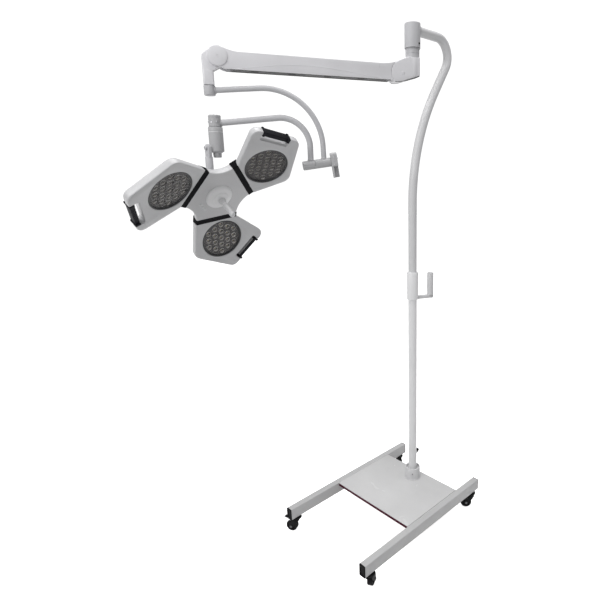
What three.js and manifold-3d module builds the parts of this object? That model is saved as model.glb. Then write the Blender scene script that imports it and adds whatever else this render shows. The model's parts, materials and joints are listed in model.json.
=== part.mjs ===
// Mobile surgical light: a wheeled H-shaped base, a pole with a gooseneck, a spring arm,
// two curved arms and a tilting head with three hinged-looking lamp petals.
// Millimetres, +Z up.  The origin is the middle of the bounding box, on the floor.
import * as THREE from 'three';
import { ConvexGeometry } from 'three/addons/geometries/ConvexGeometry.js';
import { mergeVertices } from 'three/addons/utils/BufferGeometryUtils.js';
import Module from 'manifold-3d';

const wasm = await Module();
wasm.setup();

// ---------------------------------------------------------------- driving dimensions
const GAP = 0.3; // clearance between touching pieces

// base
const RAIL_TOP = 125; // height of the rails' top faces
const RAIL_HEIGHT = 50;
const RAIL_WIDTH = 30;
const RAIL_WALL = 2.5;
const BASE_WIDTH = 490;
const RAIL_FRONT = -537; // rail ends, measured from the pole's axis
const RAIL_REAR = 183;
const PLATE_FRONT = -273;
const PLATE_REAR = 52;
const PLATE_THICK = 4;
const BALLAST_THICK = 12;
const PLUG_FLANGE = 4;
const PLUG_DEPTH = 18;

// casters
const CASTER_INSET = 34; // swivel axis to rail end
const WHEEL_DIAMETER = 50;
const WHEEL_WIDTH = 22;
const CASTER_TRAIL = 22; // swivel axis to axle
const FORK_SPREAD = 31; // outside width of the fork
const FORK_PLATE = 3;

// pole
const COLLAR_DIAMETER = 69;
const COLLAR_HEIGHT = 53;
const COLLAR_WALL = 6;
const COLLAR_FLOOR = 14;
const LOWER_TUBE = 38;
const UPPER_TUBE = 36;
const TUBE_WALL = 2.5;
const SLEEVE_DIAMETER = 50;
const SLEEVE_BOTTOM = 989;
const SLEEVE_TOP = 1109;
const HANDLE_REACH = 84;
const HANDLE_TUBE = 28;
const HANDLE_BAR_HEIGHT = 13;
const HANDLE_BAR_WIDTH = 20;
const HANDLE_AZIMUTH = 64.5;
const HANDLE_TOP = 1100;

// gooseneck: straight, wide bend, straight, tight bend back over the pole
const NECK_BEND_START = 1398;
const NECK_WIDE_RADIUS = 800;
const NECK_LEAN = 34;
const NECK_STRAIGHT = 131;
const NECK_TIGHT_RADIUS = 70;

// hub over the pole
const HUB_DIAMETER = 62;
const HUB_TOP = 2085;
const HUB_BOTTOM = 1992;
const HUB_BORE = 44;
const HUB_BORE_TOP = 2074;
const SPINDLE_DIAMETER = 30;
const SPINDLE_COLLAR = 54.6;

// spring arm, in its own vertical plane
const ARM_AZIMUTH = -115.5;
const HUB_PIVOT = { s: 50, z: 1900 };
const KNUCKLE_PIVOT = { s: 725.6, z: 1912 };
const LINK_DROP = 17; // levelling rod below the main pins
const BEAM_WIDTH = 52;
const BEAM_WALL = 5;
const BEAM_TOP = 1929;
const BEAM_BOTTOM = 1872.5;
const BEAM_END_RADIUS = 33;
const SEAM_RADIUS = 48; // hub bracket's round end about the hub pivot
const PIN_DIAMETER = 12;
const LINK_PIN = 6;
const LINK_ROD = 8;
const SPRING_DIAMETER = 22;

// knuckle and curved arms
const KNUCKLE_S = 759; // knuckle's swivel axis, from the pole's axis
const KNUCKLE_DEPTH = 35;
const KNUCKLE_WIDTH = 40;
const CURVED_ARM_AZIMUTH = 53.5;
const FIRST_HUB = { diameter: 38, bottom: 1787, top: 1820 };
const FIRST_TUBE = 19;
const FIRST_CENTRE = { s: 180, z: 1615 };
const FIRST_RADIUS = 200;
const FIRST_RISE = 4;
const SECOND_TUBE = 21;
const SECOND_CENTRE = { s: 233.4, z: 1617 };
const SECOND_RADIUS = 100;
const SECOND_RISE = 5.5;
const BARREL_DIAMETER = 33;
const BARREL_SLOPE = 8;
const BARREL_POINT = { s: 349, z: 1556 }; // joint face between the two barrels
const BARREL_INNER = 46;
const BARREL_OUTER = 58;
const BARREL_SHAFT = 16;

// head joint
const SWIVEL_S = 8; // head's swivel axis, from the knuckle's axis
const RING = { diameter: 42, bottom: 1683.7, top: 1723 };
const HOUSING = { diameter: 49, bottom: 1600, top: 1683.4 };
const HEAD_AZIMUTH = 3.2;
const NECK_OFFSET = 34;
const NECK_TUBE = 26;
const LUG_THICK = 12;
const BOLT_Z = 1612;
const HEAD_HINGE_Z = 1478.8;
const HEAD_TILT = 52.8; // face normal, from straight down

// head
const HINGE_BACK = 55; // head hinge behind the face plane
const BODY_THICK = 34;
const SHELL_WALL = 3;
const PETAL_SPIN = 48.7;
const PETAL_FOLD = 13;
const HINGE_RADIUS = 104; // fold line between hub and petal, from the head's axis
const BAND_INNER = 92;
const BAND_OUTER = 114;
const BAND_HALF = 76;
const HUB_WAIST = 92; // control radius of the hollow flank between two petals
const BAND_PROUD = 1.5;
const BACK_ROUNDING = 14; // how far the petal's back edge curves in
const PETAL_CORNERS = [
  { r: 115, t: 80, round: 4 },
  { r: 248, t: 93, round: 36 },
  { r: 338, t: -65, round: 26 },
  { r: 214, t: -197, round: 26 },
  { r: 115, t: -77, round: 4 },
];
const LAMP = { r: 196, t: -18, radius: 77, window: 2.4, depth: 24 };
const GRIP_LENGTH = 104;
const GRIP_WIDTH = 15;
const SLOT_WIDTH = 16;
const GRIP_EDGE = 2;
const DOME_DIAMETER = 96;
const DOME_HEIGHT = 20;
const ROD_DIAMETER = 20;
const ROD_LENGTH = 84;
const BUTTON_DIAMETER = 9;
const BUTTON_PITCH = 14;
const BUTTON_RADIUS = 66;
const BUTTON_ANGLE = -132;
const BUTTON_PROUD = 1.6;
const BUTTON_LENGTH = 4.5;

const rad = THREE.MathUtils.degToRad;

// ---------------------------------------------------------------- materials
const paint = (color, roughness, metalness) =>
  new THREE.MeshStandardMaterial({ color, roughness, metalness });
const WHITE = () => paint(0xd2d3d6, 0.42, 0.1);
const SHELL = () => paint(0xc9cace, 0.4, 0.05);
const BLACK = () => paint(0x16161a, 0.6, 0);
const MAROON = () => paint(0x4a1626, 0.55, 0.1);
const STEEL = () => paint(0xb4b6b8, 0.3, 0.9);
const LENS = () => paint(0x3c3936, 0.2, 0.1);
const HANDLE = () => paint(0xe6e6e8, 0.35, 0);

// ---------------------------------------------------------------- solid helpers
function solid(geometry) {
  const plain = geometry.clone();
  plain.deleteAttribute('normal');
  plain.deleteAttribute('uv');
  const merged = mergeVertices(plain, 1e-4);
  return new wasm.Manifold(new wasm.Mesh({
    numProp: 3,
    vertProperties: new Float32Array(merged.attributes.position.array),
    triVerts: new Uint32Array(merged.index.array),
  }));
}

function geometryOf(manifold) {
  const mesh = manifold.getMesh();
  const geometry = new THREE.BufferGeometry();
  geometry.setAttribute('position', new THREE.BufferAttribute(mesh.vertProperties, 3));
  geometry.setIndex(new THREE.BufferAttribute(mesh.triVerts, 1));
  return geometry;
}

function shape(added, removed = []) {
  let body = solid(added[0]);
  for (const piece of added.slice(1)) body = body.add(solid(piece));
  for (const piece of removed) body = body.subtract(solid(piece));
  return geometryOf(body);
}

// box from its lowest to its highest corner
function box([x0, y0, z0], [x1, y1, z1]) {
  return new THREE.BoxGeometry(x1 - x0, y1 - y0, z1 - z0)
    .translate((x0 + x1) / 2, (y0 + y1) / 2, (z0 + z1) / 2);
}

// upright round bar
function bar(diameter, z0, z1, sides = 20) {
  return new THREE.CylinderGeometry(diameter / 2, diameter / 2, z1 - z0, sides)
    .rotateX(Math.PI / 2)
    .translate(0, 0, (z0 + z1) / 2);
}

// round bar along Y through (x, z)
function crossBar(diameter, x, z, y0, y1, sides = 20) {
  return new THREE.CylinderGeometry(diameter / 2, diameter / 2, y1 - y0, sides)
    .translate(x, (y0 + y1) / 2, z);
}

// solid of revolution about Z from [radius, z] points
function turned(points, sides = 24) {
  const profile = points.map(([r, z]) => new THREE.Vector2(r, z));
  return new THREE.LatheGeometry(profile, sides).rotateX(Math.PI / 2);
}

// side-view outline in X and Z, made solid from y0 to y1
function slab(outline, y0, y1, curveSegments = 8) {
  return new THREE.ExtrudeGeometry(outline, { depth: y1 - y0, bevelEnabled: false, curveSegments })
    .rotateX(Math.PI / 2)
    .translate(0, y1, 0);
}

// plan-view outline in X and Y, made solid from z0 to z1
function sheet(outline, z0, z1, curveSegments = 8) {
  return new THREE.ExtrudeGeometry(outline, { depth: z1 - z0, bevelEnabled: false, curveSegments })
    .translate(0, 0, z0);
}

// closed polygon whose corners are rounded by tangent arcs
function roundedPolygon(corners) {
  const outline = new THREE.Shape();
  const points = corners.map(({ x, y }) => new THREE.Vector2(x, y));
  corners.forEach(({ round }, i) => {
    const here = points[i];
    const before = points.at(i - 1).clone().sub(here).normalize();
    const after = points[(i + 1) % points.length].clone().sub(here).normalize();
    const half = Math.acos(before.dot(after)) / 2;
    const reach = round / Math.tan(half);
    const centre = before.clone().add(after).normalize().multiplyScalar(round / Math.sin(half)).add(here);
    const start = before.clone().multiplyScalar(reach).add(here).sub(centre);
    const end = after.clone().multiplyScalar(reach).add(here).sub(centre);
    const clockwise = before.cross(after) > 0;
    outline.absarc(centre.x, centre.y, round, start.angle(), end.angle(), clockwise);
  });
  outline.closePath();
  return outline;
}

// circular bend in the XZ plane, angles in degrees from +X
class Bend extends THREE.Curve {
  constructor(x, z, radius, from, to) {
    super();
    Object.assign(this, { x, z, radius, from, to });
  }

  getPoint(u, target = new THREE.Vector3()) {
    const angle = rad(this.from + (this.to - this.from) * u);
    return target.set(this.x + this.radius * Math.cos(angle), 0, this.z + this.radius * Math.sin(angle));
  }
}

const at = (x, z) => new THREE.Vector3(x, 0, z);

// round rod that follows a list of curves
function pipe(curves, diameter, sides, steps) {
  const route = new THREE.CurvePath();
  curves.forEach((curve) => route.add(curve));
  const section = new THREE.Shape().absarc(0, 0, diameter / 2, 0, 2 * Math.PI);
  return new THREE.ExtrudeGeometry(section, {
    extrudePath: route, steps, curveSegments: sides, bevelEnabled: false,
  });
}

function part(parent, name, geometry, material) {
  const mesh = new THREE.Mesh(geometry, material);
  mesh.name = name;
  parent.add(mesh);
  return mesh;
}

function frame(parent, x = 0, y = 0, z = 0) {
  const group = new THREE.Group();
  group.position.set(x, y, z);
  parent.add(group);
  return group;
}

const model = new THREE.Group();

// ---------------------------------------------------------------- base
const railInside = BASE_WIDTH / 2 - RAIL_WIDTH;
const railBottom = RAIL_TOP - RAIL_HEIGHT;

function railGeometry() {
  const half = RAIL_WIDTH / 2;
  const outside = box([-half, RAIL_FRONT, railBottom], [half, RAIL_REAR, RAIL_TOP]);
  const inside = box(
    [-half + RAIL_WALL, RAIL_FRONT - 1, railBottom + RAIL_WALL],
    [half - RAIL_WALL, RAIL_REAR + 1, RAIL_TOP - RAIL_WALL],
  );
  return shape([outside], [inside]);
}

// plug with a thin outer flange; built facing -Y at y = 0
function plugGeometry() {
  const half = RAIL_WIDTH / 2;
  const inner = RAIL_WALL + GAP;
  return shape([
    box([-half, -PLUG_FLANGE, railBottom], [half, -GAP, RAIL_TOP]),
    box([-half + inner, -GAP - 0.01, railBottom + inner], [half - inner, PLUG_DEPTH, RAIL_TOP - inner]),
  ]);
}

function addBase() {
  const railX = BASE_WIDTH / 2 - RAIL_WIDTH / 2;
  const ends = [
    ['front', RAIL_FRONT, 0],
    ['rear', RAIL_REAR, Math.PI],
  ];
  for (const [side, x] of [['left', -railX], ['right', railX]]) {
    part(model, `${side}_rail`, railGeometry(), WHITE()).position.x = x;
    for (const [end, y, turn] of ends) {
      const plug = part(model, `end_plug_${end}_${side}`, plugGeometry(), BLACK());
      plug.position.set(x, y, 0);
      plug.rotation.z = turn;
    }
  }
  const plateX = railInside - GAP;
  const plateBottom = RAIL_TOP - PLATE_THICK;
  const slabTop = plateBottom - GAP;
  part(model, 'base_plate', shape(
    [box([-plateX, PLATE_FRONT, plateBottom], [plateX, PLATE_REAR, RAIL_TOP])],
  ), WHITE());
  part(model, 'ballast_plate', shape(
    [box([-plateX, PLATE_FRONT, slabTop - BALLAST_THICK], [plateX, PLATE_REAR, slabTop])],
  ), MAROON());
}

// ---------------------------------------------------------------- casters
const axleZ = WHEEL_DIAMETER / 2;
const forkHeadZ = railBottom - GAP;

function wheelGeometry() {
  const r = WHEEL_DIAMETER / 2;
  const half = WHEEL_WIDTH / 2;
  const bore = 4 + GAP;
  const recess = 3;
  return turned([
    [bore, -half + recess], [9, -half + recess], [r - 7, -half + recess], [r - 5, -half], [r - 2, -half],
    [r, -half + 2.5], [r, half - 2.5], [r - 2, half], [r - 5, half], [r - 7, half - recess],
    [9, half - recess], [bore, half - recess], [bore, -half + recess],
  ], 24).rotateX(Math.PI / 2);
}

// swivel head, two fork plates and the axle as one pressed assembly; trail along -Y
function forkGeometry() {
  const half = FORK_SPREAD / 2;
  const plate = new THREE.Shape();
  plate.moveTo(15, 62);
  plate.lineTo(-13, 62);
  plate.lineTo(-CASTER_TRAIL - 9, axleZ + 4);
  plate.absarc(-CASTER_TRAIL, axleZ, 9, Math.PI, 1.9 * Math.PI, false);
  plate.closePath();
  const cheeks = [-half, half - FORK_PLATE].map((x) => slab(plate, x, x + FORK_PLATE).rotateZ(Math.PI / 2));
  return shape([
    bar(44, 66, 71, 20),
    bar(26, 58, forkHeadZ, 16),
    box([-half, -14, 58], [half, 14, 63]),
    ...cheeks,
    new THREE.CylinderGeometry(4, 4, FORK_SPREAD + 6, 12).rotateZ(Math.PI / 2).translate(0, -CASTER_TRAIL, axleZ),
  ]);
}

// foot lever: a pivoted block with a steel tread
function pedalGeometry() {
  const tread = new THREE.Shape();
  tread.moveTo(-9, 46);
  tread.lineTo(-32, 53);
  tread.lineTo(-33, 56.5);
  tread.lineTo(-9, 50);
  tread.lineTo(-1, 55);
  tread.lineTo(4, 51);
  tread.lineTo(-3, 46);
  tread.closePath();
  return shape([slab(tread, -10, 10).rotateZ(Math.PI / 2).translate(0, -CASTER_TRAIL - 2, 5)]);
}

function addCasters() {
  const railX = BASE_WIDTH / 2 - RAIL_WIDTH / 2;
  const corners = [
    ['front_left', -railX, RAIL_FRONT + CASTER_INSET, -62, true],
    ['front_right', railX, RAIL_FRONT + CASTER_INSET, -151, true],
    ['rear_left', -railX, RAIL_REAR - CASTER_INSET, 223, false],
    ['rear_right', railX, RAIL_REAR - CASTER_INSET, -46, false],
  ];
  for (const [corner, x, y, turn, braked] of corners) {
    const caster = frame(model, x, y, 0);
    caster.rotation.z = rad(turn);
    part(caster, `caster_fork_${corner}`, forkGeometry(), BLACK());
    part(caster, `caster_wheel_${corner}`, shape([wheelGeometry().rotateZ(Math.PI / 2)]), BLACK())
      .position.set(0, -CASTER_TRAIL, axleZ);
    if (braked) part(caster, `brake_pedal_${corner}`, pedalGeometry(), STEEL());
  }
}

// ---------------------------------------------------------------- pole
function addPole() {
  const collar = turned([
    [LOWER_TUBE / 2 + GAP, RAIL_TOP + GAP], [COLLAR_DIAMETER / 2, RAIL_TOP + GAP],
    [COLLAR_DIAMETER / 2, RAIL_TOP + COLLAR_HEIGHT],
    [COLLAR_DIAMETER / 2 - COLLAR_WALL, RAIL_TOP + COLLAR_HEIGHT],
    [COLLAR_DIAMETER / 2 - COLLAR_WALL, RAIL_TOP + COLLAR_FLOOR],
    [LOWER_TUBE / 2 + GAP, RAIL_TOP + COLLAR_FLOOR], [LOWER_TUBE / 2 + GAP, RAIL_TOP + GAP],
  ], 28);
  part(model, 'pole_collar', shape([collar]), WHITE());

  const middle = (SLEEVE_BOTTOM + SLEEVE_TOP) / 2;
  part(model, 'lower_pole', shape(
    [bar(LOWER_TUBE, RAIL_TOP + GAP, middle - GAP, 24)],
    [bar(LOWER_TUBE - 2 * TUBE_WALL, RAIL_TOP - 1, middle + 1, 24)],
  ), WHITE());

  part(model, 'pole_sleeve', shape(
    [bar(SLEEVE_DIAMETER, SLEEVE_BOTTOM, SLEEVE_TOP, 24)],
    [
      bar(LOWER_TUBE + 2 * GAP, SLEEVE_BOTTOM - 1, middle, 24),
      bar(UPPER_TUBE + 2 * GAP, middle - 1, SLEEVE_TOP + 1, 24),
    ],
  ), WHITE());
  addPushHandle();
  addGooseneck(middle + GAP);

  const gland = frame(model, 0, LOWER_TUBE / 2 + GAP, RAIL_TOP + COLLAR_HEIGHT + 70);
  part(gland, 'cable_gland', shape([turned([
    [4, 0], [11, 0], [11, 4], [8.5, 5], [8.5, 14], [7, 20], [4, 20], [4, 0],
  ], 16).rotateX(-Math.PI / 2)]), BLACK());
}

function addPushHandle() {
  const handle = frame(model);
  handle.rotation.z = rad(HANDLE_AZIMUTH);
  const wide = HANDLE_BAR_WIDTH / 2;
  const start = SLEEVE_DIAMETER / 2;
  const upright = bar(HANDLE_TUBE, SLEEVE_BOTTOM + 2, HANDLE_TOP, 20).translate(HANDLE_REACH, 0, 0);
  const bore = bar(HANDLE_TUBE - 2 * TUBE_WALL, SLEEVE_BOTTOM + HANDLE_BAR_HEIGHT, HANDLE_TOP + 1, 20)
    .translate(HANDLE_REACH, 0, 0);
  part(handle, 'push_handle', shape([
    box([start - 8, -wide, SLEEVE_BOTTOM], [HANDLE_REACH, wide, SLEEVE_BOTTOM + HANDLE_BAR_HEIGHT]),
    upright,
  ], [bore, bar(SLEEVE_DIAMETER + 2 * GAP, SLEEVE_BOTTOM - 1, SLEEVE_TOP + 1, 24)]), WHITE());
}

function gooseneckCurves(start) {
  const lean = rad(NECK_LEAN);
  const wide = new Bend(NECK_WIDE_RADIUS, NECK_BEND_START, NECK_WIDE_RADIUS, 180, 180 - NECK_LEAN);
  const bendEnd = wide.getPoint(1);
  const direction = at(Math.sin(lean), Math.cos(lean));
  const straightEnd = bendEnd.clone().addScaledVector(direction, NECK_STRAIGHT);
  const centreX = straightEnd.x - NECK_TIGHT_RADIUS * Math.cos(lean);
  const centreZ = straightEnd.z + NECK_TIGHT_RADIUS * Math.sin(lean);
  const tight = new Bend(centreX, centreZ, NECK_TIGHT_RADIUS, -NECK_LEAN, 90);
  const top = tight.getPoint(1);
  return [
    new THREE.LineCurve3(at(0, start), at(0, NECK_BEND_START)), wide,
    new THREE.LineCurve3(bendEnd, straightEnd), tight,
    new THREE.LineCurve3(top, at(HUB_DIAMETER / 2 - 4, top.z)),
  ];
}

function addGooseneck(start) {
  const neck = frame(model);
  neck.rotation.z = Math.PI / 2;
  const route = gooseneckCurves(start);
  part(neck, 'gooseneck', shape([pipe(route, UPPER_TUBE, 6, 36)], [
    pipe(route, UPPER_TUBE - 2 * TUBE_WALL, 6, 36),
    bar(HUB_DIAMETER + 2 * GAP, HUB_BOTTOM - 30, HUB_TOP + 5, 28),
  ]), WHITE());
}

// ---------------------------------------------------------------- hub
function addHub() {
  part(model, 'hub_sleeve', shape(
    [bar(HUB_DIAMETER, HUB_BOTTOM, HUB_TOP, 28)],
    [bar(HUB_BORE, HUB_BOTTOM - 1, HUB_BORE_TOP, 24)],
  ), WHITE());
  const bearing = turned([
    [SPINDLE_DIAMETER / 2 + GAP, 2006], [HUB_BORE / 2 - GAP, 2006], [HUB_BORE / 2 - GAP, 2060],
    [SPINDLE_DIAMETER / 2 + GAP, 2060], [SPINDLE_DIAMETER / 2 + GAP, 2006],
  ], 20);
  part(model, 'hub_bearing', shape([bearing]), STEEL());
  const screw = frame(model, 0, 0, HUB_BOTTOM + 18);
  screw.rotation.z = rad(8);
  part(screw, 'hub_set_screw', shape([
    new THREE.CylinderGeometry(4, 4, 4, 12).rotateZ(Math.PI / 2).translate(HUB_DIAMETER / 2 + GAP + 2, 0, 0),
  ]), STEEL());
}

// ---------------------------------------------------------------- spring arm
const arm = frame(model);
arm.rotation.z = rad(ARM_AZIMUTH);

// casting that hangs from the hub and holds the arm's root between two cheeks
function bracketOutline() {
  const outline = new THREE.Shape();
  const collarBottom = HUB_BOTTOM - 32;
  const { s, z } = HUB_PIVOT;
  outline.moveTo(-20, collarBottom);
  outline.lineTo(-20, 1892);
  outline.quadraticCurveTo(30, 1876, 53, 1869);
  const low = -0.235 * Math.PI;
  const high = 0.355 * Math.PI;
  outline.quadraticCurveTo(70, 1865.5, s + SEAM_RADIUS * Math.cos(low), z + SEAM_RADIUS * Math.sin(low));
  outline.absarc(s, z, SEAM_RADIUS, low, high, false);
  outline.quadraticCurveTo(48, 1953, 27, collarBottom);
  outline.closePath();
  return outline;
}

function addHubBracket() {
  const collarBottom = HUB_BOTTOM - 32;
  const half = BEAM_WIDTH / 2;
  const inner = half - BEAM_WALL;
  const { s, z } = HUB_PIVOT;
  const back = turned([[0, 1892], [27.5, 1892], [27.5, collarBottom + 0.01], [0, collarBottom + 0.01]], 28);
  const stem = turned([
    [0, collarBottom], [SPINDLE_COLLAR / 2, collarBottom], [SPINDLE_COLLAR / 2, HUB_BOTTOM - GAP],
    [SPINDLE_DIAMETER / 2, HUB_BOTTOM - GAP], [SPINDLE_DIAMETER / 2, 2068], [0, 2068],
  ], 28);
  const cavity = new THREE.Shape();
  cavity.moveTo(24, 1850);
  cavity.lineTo(24, 1930);
  cavity.quadraticCurveTo(34, 1940, 62, 1936);
  cavity.lineTo(110, 1936);
  cavity.lineTo(110, 1850);
  cavity.closePath();
  const ribs = [-12, 5].map((y) => box([16, y, 1870], [s + 8, y + 7, z + 8]));
  const holes = [
    crossBar(PIN_DIAMETER + 2 * GAP, s, z, -half - 1, half + 1, 16),
    crossBar(LINK_PIN + 2 * GAP, s, z - LINK_DROP, -half - 1, half + 1, 12),
  ];
  const hood = shape([slab(bracketOutline(), -half, half)], [slab(cavity, -inner, inner)]);
  part(arm, 'hub_bracket', shape([hood, back, stem, ...ribs], holes), WHITE());
  part(arm, 'hub_pivot_pin', shape([
    crossBar(PIN_DIAMETER, s, z, -half - 1.6, half + 1.6, 16),
  ]), STEEL());
}

function beamOutline() {
  const outline = new THREE.Shape();
  const { s, z } = KNUCKLE_PIVOT;
  const start = HUB_PIVOT.s + 40.5;
  outline.moveTo(start, BEAM_BOTTOM);
  outline.lineTo(s - 26, BEAM_BOTTOM);
  outline.quadraticCurveTo(s - 14, BEAM_BOTTOM + 2, s - 6, z - 32.4);
  outline.absarc(s, z, BEAM_END_RADIUS, -0.56 * Math.PI, 0.66 * Math.PI, false);
  outline.quadraticCurveTo(s - 42, BEAM_TOP + 2, s - 66, BEAM_TOP);
  outline.lineTo(140, BEAM_TOP);
  outline.quadraticCurveTo(105, BEAM_TOP + 1, HUB_PIVOT.s + 32.5, BEAM_TOP + 8);
  outline.closePath();
  return outline;
}

// aluminium channel, open below, with a root that runs inside the hub bracket
function addBeam() {
  const half = BEAM_WIDTH / 2;
  const inner = half - BEAM_WALL;
  const { s, z } = HUB_PIVOT;
  const knuckle = KNUCKLE_PIVOT;
  const channel = box([80, -inner, BEAM_BOTTOM - 5], [knuckle.s + 40, inner, BEAM_TOP - BEAM_WALL]);
  const forkGap = box([knuckle.s - 44, -inner, BEAM_BOTTOM - 5], [knuckle.s + 40, inner, BEAM_TOP + 30]);
  const clearance = crossBar(2 * SEAM_RADIUS + 2, s, z, -half - 1, half + 1, 48);
  const rootPlate = new THREE.Shape();
  rootPlate.moveTo(132, z - 8);
  rootPlate.lineTo(132, BEAM_TOP - BEAM_WALL + 0.5);
  rootPlate.lineTo(96, BEAM_TOP - BEAM_WALL + 0.5);
  rootPlate.lineTo(s + 6, z + 21);
  rootPlate.absarc(s, z, 21, 0.45 * Math.PI, 1.6 * Math.PI, false);
  rootPlate.closePath();
  const roots = [[13, inner + 0.5], [-inner - 0.5, -13]].map(([y0, y1]) => slab(rootPlate, y0, y1));
  const trimmed = [[13, inner - 1], [-inner + 1, -13]].map(([y0, y1]) => slab(rootPlate, y0, y1));
  const web = box([112, -14, z - 3], [132, 14, BEAM_TOP - BEAM_WALL + 0.5]);
  const outside = box([0, -half - 1, 1800], [s + SEAM_RADIUS, -inner + 0.6, 2000]);
  const outsideToo = box([0, inner - 0.6, 1800], [s + SEAM_RADIUS, half + 1, 2000]);
  const root = shape([...roots, ...trimmed], [outside, outsideToo]);
  const shell = shape([slab(beamOutline(), -half, half, 10)], [channel, forkGap, clearance]);
  part(arm, 'arm_beam', shape([shell, root, web], [
    crossBar(PIN_DIAMETER + 2 * GAP, s, z, -half, half, 16),
    crossBar(PIN_DIAMETER + 2 * GAP, knuckle.s, knuckle.z, -half - 1, half + 1, 16),
  ]), WHITE());

  part(arm, 'arm_bottom_cover', shape([
    box([s + 60, -inner + GAP, BEAM_BOTTOM + 0.5], [knuckle.s - 50, inner - GAP, BEAM_BOTTOM + 3]),
  ]), BLACK());

  const springZ = 1911.5;
  part(arm, 'balance_spring', shape([
    new THREE.CylinderGeometry(SPRING_DIAMETER / 2, SPRING_DIAMETER / 2, 340, 16)
      .rotateZ(Math.PI / 2).translate(136 + 170, 0, springZ),
  ]), STEEL());
}

function addLevellingRod() {
  const from = at(HUB_PIVOT.s, HUB_PIVOT.z - LINK_DROP);
  const to = at(KNUCKLE_PIVOT.s, KNUCKLE_PIVOT.z - LINK_DROP);
  const length = from.distanceTo(to);
  const slope = Math.atan2(to.z - from.z, to.x - from.x);
  const eye = (x) => crossBar(14, x, 0, -4, 4, 14);
  const pin = (x) => crossBar(LINK_PIN, x, 0, -11.5, 11.5, 10);
  const rod = new THREE.CylinderGeometry(LINK_ROD / 2, LINK_ROD / 2, length - 4, 10)
    .rotateZ(Math.PI / 2).translate(length / 2, 0, 0);
  const link = frame(arm, from.x, 0, from.z);
  link.rotation.y = -slope;
  part(link, 'levelling_rod', shape([eye(0), eye(length), rod, pin(0), pin(length)]), STEEL());
}

function addKnuckle() {
  const { s, z } = KNUCKLE_PIVOT;
  const inner = BEAM_WIDTH / 2 - BEAM_WALL - GAP;
  const half = KNUCKLE_WIDTH / 2;
  const front = KNUCKLE_S + KNUCKLE_DEPTH / 2;
  const rear = KNUCKLE_S - KNUCKLE_DEPTH / 2;
  const outline = new THREE.Shape();
  outline.moveTo(front, FIRST_HUB.top + 30);
  outline.lineTo(front, z);
  outline.quadraticCurveTo(front - 2, z + 8, s + 22, z + 24);
  outline.absarc(s, z, 32, 0.27 * Math.PI, 1.32 * Math.PI, false);
  outline.lineTo(rear, z - 46);
  outline.lineTo(rear, FIRST_HUB.top + 30);
  outline.closePath();
  const body = box([rear, -half, FIRST_HUB.top + GAP], [front, half, z - 50]);
  const slot = box([s - 40, -5, z - 42], [s + 12, 5, z + 60]);
  const spigot = bar(16, FIRST_HUB.bottom + 5, FIRST_HUB.top + 2, 16).translate(KNUCKLE_S, 0, 0);
  part(arm, 'knuckle', shape([slab(outline, -inner, inner), body, spigot], [
    slot,
    crossBar(PIN_DIAMETER + 2 * GAP, s, z, -inner - 1, inner + 1, 16),
    crossBar(LINK_PIN + 2 * GAP, s, z - LINK_DROP, -12, 12, 12),
  ]), WHITE());

  const face = BEAM_WIDTH / 2;
  part(arm, 'knuckle_pivot_pin', shape([
    crossBar(PIN_DIAMETER, s, z, -face - GAP - 1, face - 0.5, 16),
    crossBar(2 * BEAM_END_RADIUS - 3, s, z, -face - GAP - 3, -face - GAP, 28),
  ]), WHITE());
  part(arm, 'pivot_cover', shape([
    crossBar(2 * BEAM_END_RADIUS - 3, s, z, face + GAP, face + GAP + 3, 28),
    crossBar(6, s, z, face + GAP + 1, face + GAP + 4, 10),
  ]), WHITE());
}

// ---------------------------------------------------------------- curved arms
const curved = frame(arm, KNUCKLE_S, 0, 0);
curved.rotation.z = rad(CURVED_ARM_AZIMUTH - ARM_AZIMUTH);

// barrel piece along the sloping joint axis; distances measured from the joint face
function barrel(from, to, diameter, sides = 20) {
  return new THREE.CylinderGeometry(diameter / 2, diameter / 2, to - from, sides)
    .rotateZ(Math.PI / 2)
    .translate((from + to) / 2, 0, 0)
    .rotateY(-rad(BARREL_SLOPE))
    .translate(BARREL_POINT.s, 0, BARREL_POINT.z);
}

const onBarrel = (distance) => at(
  BARREL_POINT.s + distance * Math.cos(rad(BARREL_SLOPE)),
  BARREL_POINT.z + distance * Math.sin(rad(BARREL_SLOPE)),
);

function addFirstArm() {
  const bend = new Bend(FIRST_CENTRE.s, FIRST_CENTRE.z, FIRST_RADIUS, 90 + FIRST_RISE, FIRST_RISE);
  const start = at(0, (FIRST_HUB.bottom + FIRST_HUB.top) / 2);
  const route = [
    new THREE.LineCurve3(start, bend.getPoint(0)), bend,
    new THREE.LineCurve3(bend.getPoint(1), onBarrel(BARREL_OUTER / 2 + 4)),
  ];
  const hub = bar(FIRST_HUB.diameter, FIRST_HUB.bottom, FIRST_HUB.top, 24);
  const hubBore = bar(16 + 2 * GAP, FIRST_HUB.bottom + 3, FIRST_HUB.top + 1, 16);
  part(curved, 'first_curved_arm', shape(
    [pipe(route, FIRST_TUBE, 6, 22), hub, barrel(GAP, BARREL_OUTER, BARREL_DIAMETER)],
    [pipe(route, FIRST_TUBE - 4, 5, 22), hubBore, barrel(-1, 40, BARREL_SHAFT + 2 * GAP, 16)],
  ), WHITE());
}

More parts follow.
